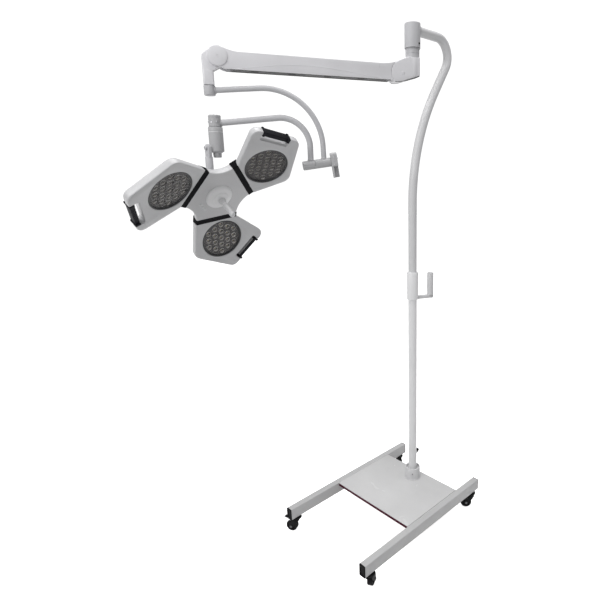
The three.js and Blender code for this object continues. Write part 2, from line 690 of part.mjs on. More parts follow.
function addEndBracket() {
  const post = frame(curved, onBarrel(BARREL_OUTER + GAP).x, 0, onBarrel(BARREL_OUTER + GAP).z);
  post.rotation.y = -rad(BARREL_SLOPE);
  const plate = new THREE.Shape();
  plate.moveTo(-17, -18);
  plate.lineTo(17, -18);
  plate.lineTo(17, 22);
  plate.absarc(7, 22, 10, 0, Math.PI / 2, false);
  plate.absarc(-7, 22, 10, Math.PI / 2, Math.PI, false);
  plate.closePath();
  const block = slab(plate, -24, 0, 4).rotateZ(Math.PI / 2);
  const holes = [[0, 24], [-8, 10], [8, 10], [0, -6]].map(([y, z]) =>
    new THREE.CylinderGeometry(2.2, 2.2, 30, 10).rotateZ(Math.PI / 2).translate(26, y, z));
  const tab = box([0, -15, -58], [7, 15, -16]);
  const lip = box([0, 9, -58], [24, 15, -16]);
  const slot = box([-1, -6, -44], [8, 2, -26]);
  part(post, 'end_bracket', shape([block, tab, lip], [...holes, slot]), WHITE());
}

function addSecondArm() {
  const x = SECOND_CENTRE.s + SECOND_RADIUS;
  const bend = new Bend(SECOND_CENTRE.s, SECOND_CENTRE.z, SECOND_RADIUS, 0, 90 + SECOND_RISE);
  const leave = bend.getPoint(1);
  const run = leave.x - SWIVEL_S;
  const end = at(SWIVEL_S, leave.z - run * Math.tan(rad(SECOND_RISE)));
  const route = [
    new THREE.LineCurve3(at(x, BARREL_POINT.z), at(x, SECOND_CENTRE.z)), bend,
    new THREE.LineCurve3(leave, end),
  ];
  const ring = bar(RING.diameter, RING.bottom + GAP, RING.top, 24).translate(SWIVEL_S, 0, 0);
  const bore = bar(16 + 2 * GAP, RING.bottom - 1, RING.top - 8, 16).translate(SWIVEL_S, 0, 0);
  part(curved, 'second_curved_arm', shape(
    [pipe(route, SECOND_TUBE, 6, 20), ring,
      barrel(-BARREL_INNER, -GAP, BARREL_DIAMETER), barrel(-2, 38, BARREL_SHAFT, 16)],
    [pipe(route, SECOND_TUBE - 4, 5, 20), bore],
  ), WHITE());
}

// ---------------------------------------------------------------- head joint
const swivel = frame(curved, SWIVEL_S, 0, 0);
swivel.rotation.z = rad(HEAD_AZIMUTH - CURVED_ARM_AZIMUTH);

function addHeadJoint() {
  const r = HOUSING.diameter / 2;
  const flat = NECK_OFFSET - LUG_THICK / 2;
  const body = turned([
    [0, HOUSING.bottom - 20], [14, HOUSING.bottom - 20], [17, HOUSING.bottom - 16], [19, HOUSING.bottom],
    [r - 1, HOUSING.bottom], [r, HOUSING.bottom + 2], [r, HOUSING.top], [8, HOUSING.top],
    [8, RING.top - 11], [0, RING.top - 11],
  ], 28);
  const pad = crossBar(24, 0, BOLT_Z, -flat + GAP, 0, 20);
  part(swivel, 'swivel_housing', shape([body, pad], [
    crossBar(8 + 2 * GAP, 0, BOLT_Z, -flat - 1, -12, 12),
  ]), WHITE());

  const lug = new THREE.Shape();
  lug.moveTo(13, BOLT_Z - 34);
  lug.lineTo(13, BOLT_Z);
  lug.absarc(0, BOLT_Z, 13, 0, Math.PI, false);
  lug.lineTo(-13, BOLT_Z - 34);
  lug.closePath();
  const lower = new THREE.Shape();
  lower.moveTo(-13, HEAD_HINGE_Z + 26);
  lower.lineTo(-13, HEAD_HINGE_Z);
  lower.absarc(0, HEAD_HINGE_Z, 13, Math.PI, 2 * Math.PI, false);
  lower.lineTo(13, HEAD_HINGE_Z + 26);
  lower.closePath();
  const thick = LUG_THICK / 2;
  const tube = bar(NECK_TUBE, HEAD_HINGE_Z + 20, BOLT_Z - 30, 20);
  const neck = frame(swivel, 0, -NECK_OFFSET, 0);
  part(neck, 'neck', shape([slab(lug, -thick, thick), tube, slab(lower, -7, 7)], [
    crossBar(8 + 2 * GAP, 0, BOLT_Z, -thick - 1, thick + 1, 12),
    crossBar(10 + 2 * GAP, 0, HEAD_HINGE_Z, -8, 8, 14),
  ]), WHITE());
  part(neck, 'tilt_bolt', shape([
    crossBar(8, 0, BOLT_Z, -thick - 1, 18, 12),
    crossBar(15, 0, BOLT_Z, -thick - GAP - 6, -thick - GAP, 12),
  ]), STEEL());
}

// ---------------------------------------------------------------- head
// the head's own frame: face down, +Z out of the back, origin on the hinge
const head = frame(swivel, 0, -NECK_OFFSET, HEAD_HINGE_Z);
head.rotation.y = -rad(HEAD_TILT);
const faceZ = -HINGE_BACK;
const backZ = faceZ + BODY_THICK;

// Y-shaped middle: three straight band edges joined by hollowed flanks
function hubOutline(inset) {
  const outline = new THREE.Shape();
  for (let i = 0; i < 3; i += 1) {
    const turn = rad(PETAL_SPIN + 120 * i);
    const spot = (r, t) => new THREE.Vector2(r, t).rotateAround(new THREE.Vector2(), turn);
    const edge = BAND_INNER - GAP;
    const first = spot(edge, -BAND_HALF + inset);
    const second = spot(edge, BAND_HALF - inset);
    const next = new THREE.Vector2(edge, -BAND_HALF + inset)
      .rotateAround(new THREE.Vector2(), turn + rad(120));
    const hollow = new THREE.Vector2(HUB_WAIST - inset, 0).rotateAround(new THREE.Vector2(), turn + rad(60));
    if (i === 0) outline.moveTo(first.x, first.y);
    else outline.lineTo(first.x, first.y);
    outline.lineTo(second.x, second.y);
    outline.quadraticCurveTo(hollow.x, hollow.y, next.x, next.y);
  }
  outline.closePath();
  return outline;
}

function buttonSpots() {
  const middle = new THREE.Vector2(BUTTON_RADIUS, 0).rotateAround(new THREE.Vector2(), rad(BUTTON_ANGLE));
  const along = new THREE.Vector2(0, BUTTON_PITCH).rotateAround(new THREE.Vector2(), rad(BUTTON_ANGLE));
  return [-1, 0, 1].map((i) => middle.clone().addScaledVector(along, i));
}

function addHeadHub() {
  const shell = sheet(hubOutline(0), faceZ, backZ, 5);
  const hollow = sheet(hubOutline(SHELL_WALL), faceZ + SHELL_WALL, backZ - SHELL_WALL, 5);
  const wiring = bar(30, backZ - 10, backZ + 1, 16);
  const boss = turned([[16, backZ - 1], [38, backZ - 1], [34, backZ + 6], [16, backZ + 6], [16, backZ - 1]], 24);
  const ears = [-17, 9].map((y) => {
    const ear = new THREE.Shape();
    ear.moveTo(-16, backZ - 1);
    ear.lineTo(-13, 0);
    ear.absarc(0, 0, 13, Math.PI, 0, true);
    ear.lineTo(16, backZ - 1);
    ear.closePath();
    return slab(ear, y, y + 8);
  });
  const pin = crossBar(10, 0, 0, -16.5, 16.5, 14);
  const buttonHoles = buttonSpots().map(({ x, y }) =>
    bar(BUTTON_DIAMETER + 2 * GAP, faceZ - 1, faceZ + SHELL_WALL + 1, 14).translate(x, y, 0));
  part(head, 'head_hub', shape([shape([shell], [hollow, wiring]), boss, ...ears, pin], buttonHoles), SHELL());

  const dome = DOME_DIAMETER / 2;
  const low = faceZ - GAP;
  part(head, 'centre_dome', shape([turned([
    [0, low - DOME_HEIGHT], [14, low - DOME_HEIGHT + 0.8], [30, low - DOME_HEIGHT * 0.72],
    [42, low - DOME_HEIGHT * 0.32], [dome, low - 3], [dome, low], [0, low],
  ], 28)]), SHELL());
  const tip = low - DOME_HEIGHT - GAP;
  part(head, 'sterile_handle', shape([turned([
    [0, tip - ROD_LENGTH], [7.5, tip - ROD_LENGTH], [9.6, tip - ROD_LENGTH + 2.5],
    [ROD_DIAMETER / 2, tip - ROD_LENGTH + 12], [ROD_DIAMETER / 2 - 0.8, tip - 12],
    [13, tip - 4], [13, tip], [0, tip],
  ], 20)]), HANDLE());
  buttonSpots().forEach(({ x, y }, i) => {
    part(head, `button_${i + 1}`, shape([
      bar(BUTTON_DIAMETER, faceZ - BUTTON_PROUD, faceZ - BUTTON_PROUD + BUTTON_LENGTH, 14).translate(x, y, 0),
    ]), HANDLE());
  });
}

// flank outline between the band and the petal's rounded corners
function petalCorners(inset) {
  const centre = { x: 210, y: -30 };
  return PETAL_CORNERS.map(({ r, t, round }) => {
    const x = r - HINGE_RADIUS;
    const dx = centre.x - r;
    const dy = centre.y - t;
    const reach = Math.hypot(dx, dy);
    const move = inset * 1.25;
    return { x: x + dx / reach * move, y: t + dy / reach * move, round: Math.max(round - inset, 1) };
  });
}

function gripFrame() {
  const [, , outer, side] = PETAL_CORNERS;
  const along = new THREE.Vector2(outer.r - side.r, outer.t - side.t);
  const middle = new THREE.Vector2((side.r + outer.r) / 2 - HINGE_RADIUS, (side.t + outer.t) / 2);
  return { middle, angle: along.angle() };
}

// rectangle beside the petal's outer edge; depths measured inwards from that edge
function edgeBlock(length, depth0, depth1, z0, z1) {
  const { middle, angle } = gripFrame();
  return box([-length / 2, depth0, z0], [length / 2, depth1, z1])
    .rotateZ(angle)
    .translate(middle.x, middle.y, 0);
}

// petal-shaped solid through outlines at several heights, each [inset, z]
function petalHull(levels) {
  const points = levels.flatMap(([inset, z]) => roundedPolygon(petalCorners(inset))
    .getPoints(3)
    .map(({ x, y }) => new THREE.Vector3(x, y, z)));
  return new ConvexGeometry(points);
}

function petalGeometry() {
  const round = BACK_ROUNDING;
  const outside = petalHull([
    [2, faceZ], [0, faceZ + 2.5], [0, backZ - round], [4.5, backZ - 5], [round, backZ],
  ]);
  const inside = petalHull([
    [SHELL_WALL, faceZ + SHELL_WALL], [SHELL_WALL, backZ - round],
    [round + SHELL_WALL, backZ - SHELL_WALL],
  ]);
  const lampX = LAMP.r - HINGE_RADIUS;
  const lampHole = bar(2 * (LAMP.radius + GAP), faceZ - 1, faceZ + LAMP.depth + 1, 36)
    .translate(lampX, LAMP.t, 0);
  const slotDepth = GRIP_EDGE + GRIP_WIDTH + SLOT_WIDTH;
  const frameWall = edgeBlock(GRIP_LENGTH + 8, -20, slotDepth + 3, faceZ + 1, backZ - 1);
  const slot = edgeBlock(GRIP_LENGTH + 2, -20, slotDepth, faceZ - 1, backZ + 1);
  const hollow = solid(inside).subtract(solid(frameWall));
  const spigot = box([-8, -52, faceZ + 13], [24, 52, faceZ + 23]);
  const body = solid(outside).subtract(hollow).add(solid(spigot));
  return geometryOf(body.subtract(solid(lampHole)).subtract(solid(slot)));
}

function bandGeometry() {
  const inner = BAND_INNER - HINGE_RADIUS;
  const outer = BAND_OUTER - HINGE_RADIUS - GAP;
  const half = BAND_HALF + BAND_PROUD;
  const low = faceZ - BAND_PROUD;
  const high = backZ + BAND_PROUD;
  const wedge = new THREE.Shape();
  wedge.moveTo(inner, low);
  wedge.lineTo(outer, low);
  wedge.lineTo(outer, faceZ);
  wedge.lineTo(outer + (high - faceZ) * Math.tan(rad(PETAL_FOLD)), high);
  wedge.lineTo(inner, high);
  wedge.closePath();
  return shape([slab(wedge, -half, half)], [
    box([inner - 1, -half + 14, faceZ + 6], [outer + 20, half - 14, backZ - 6]),
  ]);
}

function lampGeometry() {
  const lampX = LAMP.r - HINGE_RADIUS;
  return shape([
    bar(2 * LAMP.radius, faceZ + 0.6, faceZ + 0.6 + LAMP.window, 36),
    bar(2 * LAMP.radius - 14, faceZ + LAMP.window, faceZ + LAMP.depth, 24),
  ]).translate(lampX, LAMP.t, 0);
}

function gripGeometry() {
  const end = GRIP_LENGTH / 2;
  const { middle, angle } = gripFrame();
  const low = faceZ + 4;
  const high = backZ - 4;
  const blocks = [
    box([-end, GRIP_EDGE, low], [end, GRIP_EDGE + GRIP_WIDTH, high]),
    box([-end, GRIP_EDGE - 3, low - 5.5], [-end + 9, GRIP_EDGE + GRIP_WIDTH, high]),
    box([end - 9, GRIP_EDGE - 3, low - 5.5], [end, GRIP_EDGE + GRIP_WIDTH, high]),
  ];
  return shape(blocks.map((block) => block.rotateZ(angle).translate(middle.x, middle.y, 0)));
}

function addPetals() {
  for (let i = 0; i < 3; i += 1) {
    const spoke = frame(head);
    spoke.rotation.z = rad(PETAL_SPIN + 120 * i);
    const hinge = frame(spoke, HINGE_RADIUS, 0, faceZ);
    hinge.rotation.y = rad(PETAL_FOLD);
    const petal = frame(hinge, 0, 0, -faceZ);
    part(frame(spoke, HINGE_RADIUS, 0, 0), `rubber_band_${i + 1}`, bandGeometry(), BLACK());
    part(petal, `petal_shell_${i + 1}`, petalGeometry(), SHELL());
    part(petal, `led_module_${i + 1}`, lampGeometry(), LENS());
    part(petal, `grip_bar_${i + 1}`, gripGeometry(), BLACK());
  }
}

// ---------------------------------------------------------------- assembly
addBase();
addCasters();
addPole();
addHub();
addHubBracket();
addBeam();
addLevellingRod();
addKnuckle();
addFirstArm();
addEndBracket();
addSecondArm();
addHeadJoint();
addHeadHub();
addPetals();

model.updateMatrixWorld(true);
const bounds = new THREE.Box3().setFromObject(model, true);
model.position.set(-(bounds.min.x + bounds.max.x) / 2, -(bounds.min.y + bounds.max.y) / 2, -bounds.min.z);
model.updateMatrixWorld(true);

const light = new THREE.Group();
light.add(model);

export default light;
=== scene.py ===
"""Looks of a mobile surgical light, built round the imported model.

Lengths are in millimetres in each local frame.
"""

import json
from math import acos, asin, atan2, cos, pi, radians as rad, sin, sqrt, tan

import bpy
from mathutils import Matrix, Vector


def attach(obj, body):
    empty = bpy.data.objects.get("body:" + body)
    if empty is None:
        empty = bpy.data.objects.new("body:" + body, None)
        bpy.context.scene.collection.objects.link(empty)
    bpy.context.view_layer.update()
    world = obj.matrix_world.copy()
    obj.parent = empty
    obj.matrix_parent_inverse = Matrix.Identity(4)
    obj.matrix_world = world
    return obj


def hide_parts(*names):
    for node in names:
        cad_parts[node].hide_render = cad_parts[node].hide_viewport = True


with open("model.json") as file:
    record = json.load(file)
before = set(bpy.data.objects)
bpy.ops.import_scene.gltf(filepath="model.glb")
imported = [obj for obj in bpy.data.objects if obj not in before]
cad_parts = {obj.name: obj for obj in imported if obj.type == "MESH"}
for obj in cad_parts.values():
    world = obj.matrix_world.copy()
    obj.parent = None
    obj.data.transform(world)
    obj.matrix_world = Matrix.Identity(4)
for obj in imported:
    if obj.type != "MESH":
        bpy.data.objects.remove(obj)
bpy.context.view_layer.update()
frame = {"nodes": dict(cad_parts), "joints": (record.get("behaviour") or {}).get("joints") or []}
JOINTS = {j["name"]: j for j in frame["joints"]}
X, Z = Vector((1, 0, 0)), Vector((0, 0, 1))

# ---- frames


def local_frame(x, y, azimuth):
    """Millimetre frame with +Z up, standing on the floor at (x, y) metres."""
    return Matrix.Translation((x, y, 0)) @ Matrix.Rotation(azimuth, 4, "Z") @ Matrix.Scale(0.001, 4)


def joint_place(name):
    return Vector(JOINTS[name]["pos_m"]), Vector(JOINTS[name]["axis"]).normalized()


def cross_azimuth(axis):
    """Azimuth of the frame whose Y axis is the given level axis."""
    return atan2(-axis.x, axis.y)


hub_at, _ = joint_place("turn_hub")
_, arm_y = joint_place("tilt_spring_arm")
knuckle_at, _ = joint_place("turn_first_arm")
_, barrel_axis = joint_place("roll_second_arm")
swivel_at, _ = joint_place("turn_head")
bolt_at, head_y = joint_place("tilt_neck")
hinge_at, _ = joint_place("tilt_head")
face_normal = Vector(JOINTS["pull_off_handle"]["axis"]).normalized()

ARM_AZIMUTH = cross_azimuth(arm_y)
CURVED_AZIMUTH = atan2(barrel_axis.y, barrel_axis.x)
HEAD_AZIMUTH = cross_azimuth(head_y)
HEAD_TILT = acos(-face_normal.z)
BARREL_SLOPE = asin(barrel_axis.z)

NECK_BEARING, PUSH_BAR_BEARING = rad(90), rad(64.5)
POLE = local_frame(hub_at.x, hub_at.y, 0)
NECK_PLANE = local_frame(hub_at.x, hub_at.y, NECK_BEARING)
HANDLE_FRAME = local_frame(hub_at.x, hub_at.y, PUSH_BAR_BEARING)
ARM = local_frame(hub_at.x, hub_at.y, ARM_AZIMUTH)
CURVED = local_frame(knuckle_at.x, knuckle_at.y, CURVED_AZIMUTH)
SWIVEL = local_frame(swivel_at.x, swivel_at.y, HEAD_AZIMUTH)
NECK = local_frame(bolt_at.x, bolt_at.y, HEAD_AZIMUTH)
HEAD = (Matrix.Translation(hinge_at) @ Matrix.Rotation(HEAD_AZIMUTH, 4, "Z")
        @ Matrix.Rotation(-HEAD_TILT, 4, "Y") @ Matrix.Scale(0.001, 4))
SIDE = Matrix(((1, 0, 0, 0), (0, 0, -1, 0), (0, 1, 0, 0), (0, 0, 0, 1)))  # outline in X and Z
ACROSS = Matrix(((0, 0, 1, 0), (1, 0, 0, 0), (0, 1, 0, 0), (0, 0, 0, 1)))  # outline in Y and Z

# ---- mesh helpers


def linked(name, data):
    obj = bpy.data.objects.new(name, data)
    bpy.context.scene.collection.objects.link(obj)
    return obj


def mesh_object(verts, faces):
    data = bpy.data.meshes.new("shape")
    data.from_pydata([tuple(v) for v in verts], [], faces)
    data.validate()
    return linked("shape", data)


def moved(obj, matrix):
    obj.data.transform(matrix)
    if matrix.determinant() < 0:
        obj.data.flip_normals()
    return obj


def apply_modifiers(obj):
    depsgraph = bpy.context.evaluated_depsgraph_get()
    data = bpy.data.meshes.new_from_object(obj.evaluated_get(depsgraph))
    old = obj.data
    obj.modifiers.clear()
    obj.data = data
    bpy.data.meshes.remove(old)
    return obj


def boolean(obj, others, operation):
    for other in others:
        m = obj.modifiers.new("b", "BOOLEAN")
        m.operation, m.solver, m.object = operation, "EXACT", other
        apply_modifiers(obj)
        bpy.data.objects.remove(other)
    return obj


def cut(obj, *others):
    return boolean(obj, others, "DIFFERENCE")


def fuse(obj, *others):
    return boolean(obj, others, "UNION")


def soften(obj, width, segments=2, angle=30):
    m = obj.modifiers.new("edge", "BEVEL")
    m.width, m.segments, m.limit_method, m.angle_limit = width, segments, "ANGLE", rad(angle)
    m.use_clamp_overlap = True
    return apply_modifiers(obj)


def joined(objs):
    verts, faces = [], []
    for o in objs:
        offset = len(verts)
        verts += [v.co.copy() for v in o.data.vertices]
        faces += [[offset + i for i in p.vertices] for p in o.data.polygons]
    merged = mesh_object(verts, faces)
    for o in objs:
        bpy.data.objects.remove(o)
    return merged


def loft(rings, looped=False):
    """Skin over equal rings of points, capped at both ends unless it is looped back on itself."""
    n = len(rings[0])
    verts = [v for ring in rings for v in ring]
    faces = []
    count = len(rings)
    for k in range(count if looped else count - 1):
        a, b = k * n, (k + 1) % count * n
        for i in range(n):
            j = (i + 1) % n
            faces.append((a + i, a + j, b + j, b + i))
    if not looped:
        faces.append(tuple(reversed(range(n))))
        faces.append(tuple(range((count - 1) * n, count * n)))
    return mesh_object(verts, faces)


def lathe(profile, sides=48, closed=False):
    """Solid of revolution about Z from (radius, z), from the bottom up along the outside."""
    verts, rings, faces = [], [], []
    for r, z in profile:
        if r < 1e-6:
            rings.append([len(verts)])
            verts.append((0, 0, z))
            continue
        rings.append(list(range(len(verts), len(verts) + sides)))
        for i in range(sides):
            a = 2 * pi * i / sides
            verts.append((r * cos(a), r * sin(a), z))
    pairs = list(zip(rings, rings[1:]))
    if closed:
        pairs.append((rings[-1], rings[0]))
    for low, high in pairs:
        for i in range(sides):
            j = (i + 1) % sides
            if len(low) == 1 and len(high) > 1:
                faces.append((low[0], high[j], high[i]))
            elif len(high) == 1 and len(low) > 1:
                faces.append((low[i], low[j], high[0]))
            elif len(low) > 1:
                faces.append((low[i], low[j], high[j], high[i]))
    return mesh_object(verts, faces)


def towards(direction):
    return Vector(direction).to_track_quat("Z", "Y").to_matrix().to_4x4()


def spun(profile, origin=(0, 0, 0), direction=(0, 0, 1), sides=48, closed=False):
    return moved(lathe(profile, sides, closed), Matrix.Translation(origin) @ towards(direction))


def rod(diameter, start, end, chamfer=0.6, sides=40):
    start, end = Vector(start), Vector(end)
    length, r = (end - start).length, diameter / 2
    c = chamfer
    profile = [(0, 0), (r - c, 0), (r - c * 0.3, c * 0.3), (r, c), (r, length - c),
               (r - c * 0.3, length - c * 0.3), (r - c, length), (0, length)]
    return spun(profile, start, end - start, sides)


def block(low, high, edge=1.0, segments=2):
    (x0, y0, z0), (x1, y1, z1) = low, high
    verts = [(x, y, z) for x in (x0, x1) for y in (y0, y1) for z in (z0, z1)]
    faces = [(0, 1, 3, 2), (4, 6, 7, 5), (0, 4, 5, 1), (2, 3, 7, 6), (0, 2, 6, 4), (1, 5, 7, 3)]
    obj = mesh_object(verts, faces)
    return soften(obj, edge, segments) if edge else obj


def prism(outline, z0, z1):
    n = len(outline)
    verts = [(x, y, z0) for x, y in outline] + [(x, y, z1) for x, y in outline]
    faces = [tuple(reversed(range(n))), tuple(range(n, 2 * n))]
    faces += [(i, (i + 1) % n, n + (i + 1) % n, n + i) for i in range(n)]
    return mesh_object(verts, faces)


def slab(outline, y0, y1):
    """Side-view outline in X and Z, solid from y0 to y1."""
    return moved(prism(outline, -y1, -y0), SIDE)


def across(outline, x0, x1):
    """Side-view outline in Y and Z, solid from x0 to x1."""
    return moved(prism(outline, x0, x1), ACROSS)


def polar(cx, cy, r, degrees):
    return cx + r * cos(rad(degrees)), cy + r * sin(rad(degrees))


def arc(cx, cy, r, start, end, steps=12):
    return [polar(cx, cy, r, start + (end - start) * i / steps) for i in range(steps + 1)]


def curve3(a, b, c, steps=8):
    """Quadratic curve from a by control point b to c, without a."""
    out = []
    for i in range(1, steps + 1):
        t = i / steps
        out.append(tuple((1 - t) ** 2 * p + 2 * t * (1 - t) * q + t * t * s for p, q, s in zip(a, b, c)))
    return out


def rounded(corners, inset=0.0, steps=10):
    """Convex counter-clockwise polygon of (x, y, radius), moved in by inset, with arcs at its corners."""
    pts = [Vector((x, y)) for x, y, _ in corners]
    n = len(pts)
    lines = []
    for i in range(n):
        d = (pts[(i + 1) % n] - pts[i]).normalized()
        lines.append((pts[i] + Vector((-d.y, d.x)) * inset, d))
    out = []
    for i in range(n):
        (p, d), (q, e) = lines[i - 1], lines[i]
        w = q - p
        here = p + d * ((w.x * e.y - w.y * e.x) / (d.x * e.y - d.y * e.x))
        r = max(corners[i][2] - inset, 0.6)
        turn = atan2(d.x * e.y - d.y * e.x, d.dot(e))
        reach = r * tan(turn / 2)
        start = here - d * reach
        centre = start + Vector((-d.y, d.x)) * r
        first = start - centre
        for k in range(steps + 1):
            a = turn * k / steps
            out.append((centre.x + first.x * cos(a) - first.y * sin(a),
                        centre.y + first.x * sin(a) + first.y * cos(a)))
    return out


def box_outline(w, h, r, steps=6):
    return rounded([(-w, -h, r), (w, -h, r), (w, h, r), (-w, h, r)], 0, steps)


def tube(path, radius, sides=28, wall=0.0):
    """Round tube along 3-D points; with a wall it is open at both ends."""
    path = [Vector(p) for p in path]
    n = len(path)
    tangents = [(path[min(i + 1, n - 1)] - path[max(i - 1, 0)]).normalized() for i in range(n)]
    normal = tangents[0].orthogonal().normalized()
    rings, inner = [], []
    for p, t in zip(path, tangents):
        normal = (normal - t * normal.dot(t)).normalized()
        other = t.cross(normal)
        angles = [2 * pi * i / sides for i in range(sides)]
        rings.append([p + (normal * cos(a) + other * sin(a)) * radius for a in angles])
        inner.append([p + (normal * cos(a) + other * sin(a)) * (radius - wall) for a in angles])
    if wall:
        return loft(rings + inner[::-1], looped=True)
    return loft(rings)


# ---- materials


class Nodes:
    """Short calls for building one material's node tree."""

    def __init__(self, name):
        self.material = bpy.data.materials.new(name)
        self.material.use_nodes = True
        self.tree = self.material.node_tree
        self.shader = self.tree.nodes["Principled BSDF"]
        self.place = self.add("ShaderNodeTexCoord").outputs["Object"]

    def add(self, kind, **values):
        node = self.tree.nodes.new(kind)
        for key, value in values.items():
            setattr(node, key, value)
        return node

    def link(self, a, b):
        self.tree.links.new(a, b)

    def feed(self, socket, value):
        self.link(value, self.shader.inputs[socket])

    def fix(self, **values):
        for socket, value in values.items():
            self.shader.inputs[socket.replace("_", " ")].default_value = value

    def noise(self, scale, detail=3.0, stretch=None, distortion=0.0):
        place = self.place
        if stretch:
            mapping = self.add("ShaderNodeMapping")
            mapping.inputs["Scale"].default_value = stretch
            self.link(place, mapping.inputs["Vector"])
            place = mapping.outputs["Vector"]
        node = self.add("ShaderNodeTexNoise")
        node.inputs["Scale"].default_value = scale
        node.inputs["Detail"].default_value = detail
        node.inputs["Distortion"].default_value = distortion
        self.link(place, node.inputs["Vector"])
        return node.outputs["Fac"]

    def span(self, value, low, high, start=0.3, end=0.7):
        node = self.add("ShaderNodeMapRange")
        for key, number in zip(("From Min", "From Max", "To Min", "To Max"), (start, end, low, high)):
            node.inputs[key].default_value = number
        self.link(value, node.inputs["Value"])
        return node.outputs["Result"]

    def mix(self, factor, a, b):
        node = self.add("ShaderNodeMix", data_type="RGBA")
        self.link(factor, node.inputs["Factor"])
        for socket, value in ((node.inputs["A"], a), (node.inputs["B"], b)):
            if isinstance(value, tuple):
                socket.default_value = (*value, 1)
            else:
                self.link(value, socket)
        return node.outputs["Result"]

    def bump(self, height, strength, distance, below=None):
        node = self.add("ShaderNodeBump")
        node.inputs["Strength"].default_value = strength
        node.inputs["Distance"].default_value = distance
        self.link(height, node.inputs["Height"])
        if below is not None:
            self.link(below, node.inputs["Normal"])
        return node.outputs["Normal"]

    def up_facing(self):
        geometry = self.add("ShaderNodeNewGeometry")
        split = self.add("ShaderNodeSeparateXYZ")
        self.link(geometry.outputs["Normal"], split.inputs["Vector"])
        return split.outputs["Z"]


def shade(colour, k):
    return tuple(min(c * k, 1.0) for c in colour)


DUST_COLOUR = (0.5, 0.48, 0.45)


def surface(name, colour, rough, metallic=0.0, coat=0.0, grain=900, relief=0.1, mottle=0.05,
            dust=0.0, specular=0.5, stretch=None, scratches=0.0):
    """Painted, moulded or metal surface: mottled colour, settled dust, uneven gloss and fine relief."""
    n = Nodes(name)
    broad = n.noise(7.0, 4.0)
    fine = n.noise(grain, 2.0, stretch)
    tone = n.mix(n.span(broad, 0, 1), shade(colour, 1 - mottle), shade(colour, 1 + mottle * 0.6))
    tone = n.mix(n.span(fine, 0.0, 0.14), tone, shade(colour, 1 - mottle * 2.2))
    if dust:
        settled = n.add("ShaderNodeMath", operation="MULTIPLY")
        n.link(n.span(n.up_facing(), 0, dust, 0.3, 1.0), settled.inputs[0])
        n.link(n.span(n.noise(26.0, 5.0), 0.2, 1.0), settled.inputs[1])
        tone = n.mix(settled.outputs["Value"], tone, DUST_COLOUR)
    n.feed("Base Color", tone)
    smear = n.noise(18.0, 5.0, distortion=0.8)
    n.feed("Roughness", n.span(smear, rough - 0.06, rough + 0.08))
    normal = n.bump(fine, relief, 0.0003)
    if scratches:
        lines = n.noise(60.0, 3.0, (1.0, 14.0, 14.0))
        normal = n.bump(lines, scratches, 0.0002, normal)
    n.feed("Normal", normal)
    n.fix(Metallic=metallic, Coat_Weight=coat, Coat_Roughness=0.15, Specular_IOR_Level=specular)
    return n.material


def clear_material(name, tint, alpha):
    """Thin clear plastic, with faint smears."""
    n = Nodes(name)
    smear = n.noise(30.0, 4.0)
    n.feed("Base Color", n.mix(n.span(smear, 0, 1), tint, shade(tint, 0.8)))
    n.feed("Roughness", n.span(smear, 0.04, 0.14))
    n.feed("Alpha", n.span(n.noise(9.0), alpha * 0.9, alpha * 1.1))
    n.fix(Specular_IOR_Level=0.6)
    return n.material


# The white finish comes in copies of different brightness: RAIL, HUB, JOINT and SHELL are darker copies
# carrying painted shade, TUBE is a lighter copy carrying painted light.
PLATE = surface("plate_enamel", (0.70, 0.70, 0.705), 0.2, relief=0.03, grain=500, coat=0.35, dust=0.05)
POWDER = surface("powder_coat", (0.70, 0.70, 0.712), 0.42, relief=0.16, grain=700, dust=0.12)
TUBE = surface("pole_enamel_painted_light", (0.86, 0.86, 0.872), 0.34, relief=0.06, grain=500, coat=0.25, dust=0.05)
RAIL = surface("rail_enamel_painted_shade", (0.57, 0.57, 0.576), 0.44, relief=0.16, grain=700, dust=0.10)
HUB = surface("hub_enamel_painted_shade", (0.54, 0.54, 0.558), 0.5, relief=0.06, grain=480, dust=0.06, specular=0.3)
JOINT = surface("joint_enamel_painted_shade", (0.47, 0.47, 0.48), 0.46, relief=0.06, grain=480, dust=0.06, specular=0.3)
ENAMEL = surface("arm_enamel", (0.76, 0.755, 0.78), 0.33, relief=0.03, grain=420, coat=0.15, dust=0.08)
SHELL = surface("shell_plastic_painted_shade", (0.59, 0.59, 0.602), 0.36, relief=0.04, grain=520, dust=0.08, coat=0.1)
FACE = surface("dome_plastic", (0.86, 0.86, 0.87), 0.38, relief=0.05, grain=480)
WAND = surface("handle_plastic", (0.71, 0.71, 0.72), 0.34, relief=0.05, grain=480)
RUBBER = surface("band_rubber", (0.005, 0.005, 0.006), 0.66, relief=0.25, grain=600, mottle=0.2,
                 specular=0.06)
GRIP = surface("grip_plastic", (0.006, 0.006, 0.009), 0.55, relief=0.4, grain=1100, mottle=0.15,
               specular=0.1)
PLUG = surface("plug_plastic", (0.005, 0.005, 0.006), 0.6, relief=0.3, grain=900, mottle=0.15,
               specular=0.06)
NYLON = surface("caster_nylon", (0.005, 0.005, 0.006), 0.5, relief=0.2, grain=700, mottle=0.25,
                dust=0.01, specular=0.1)
TREAD = surface("caster_tread", (0.008, 0.008, 0.009), 0.64, relief=0.4, grain=420, mottle=0.3,
                dust=0.02, specular=0.1)
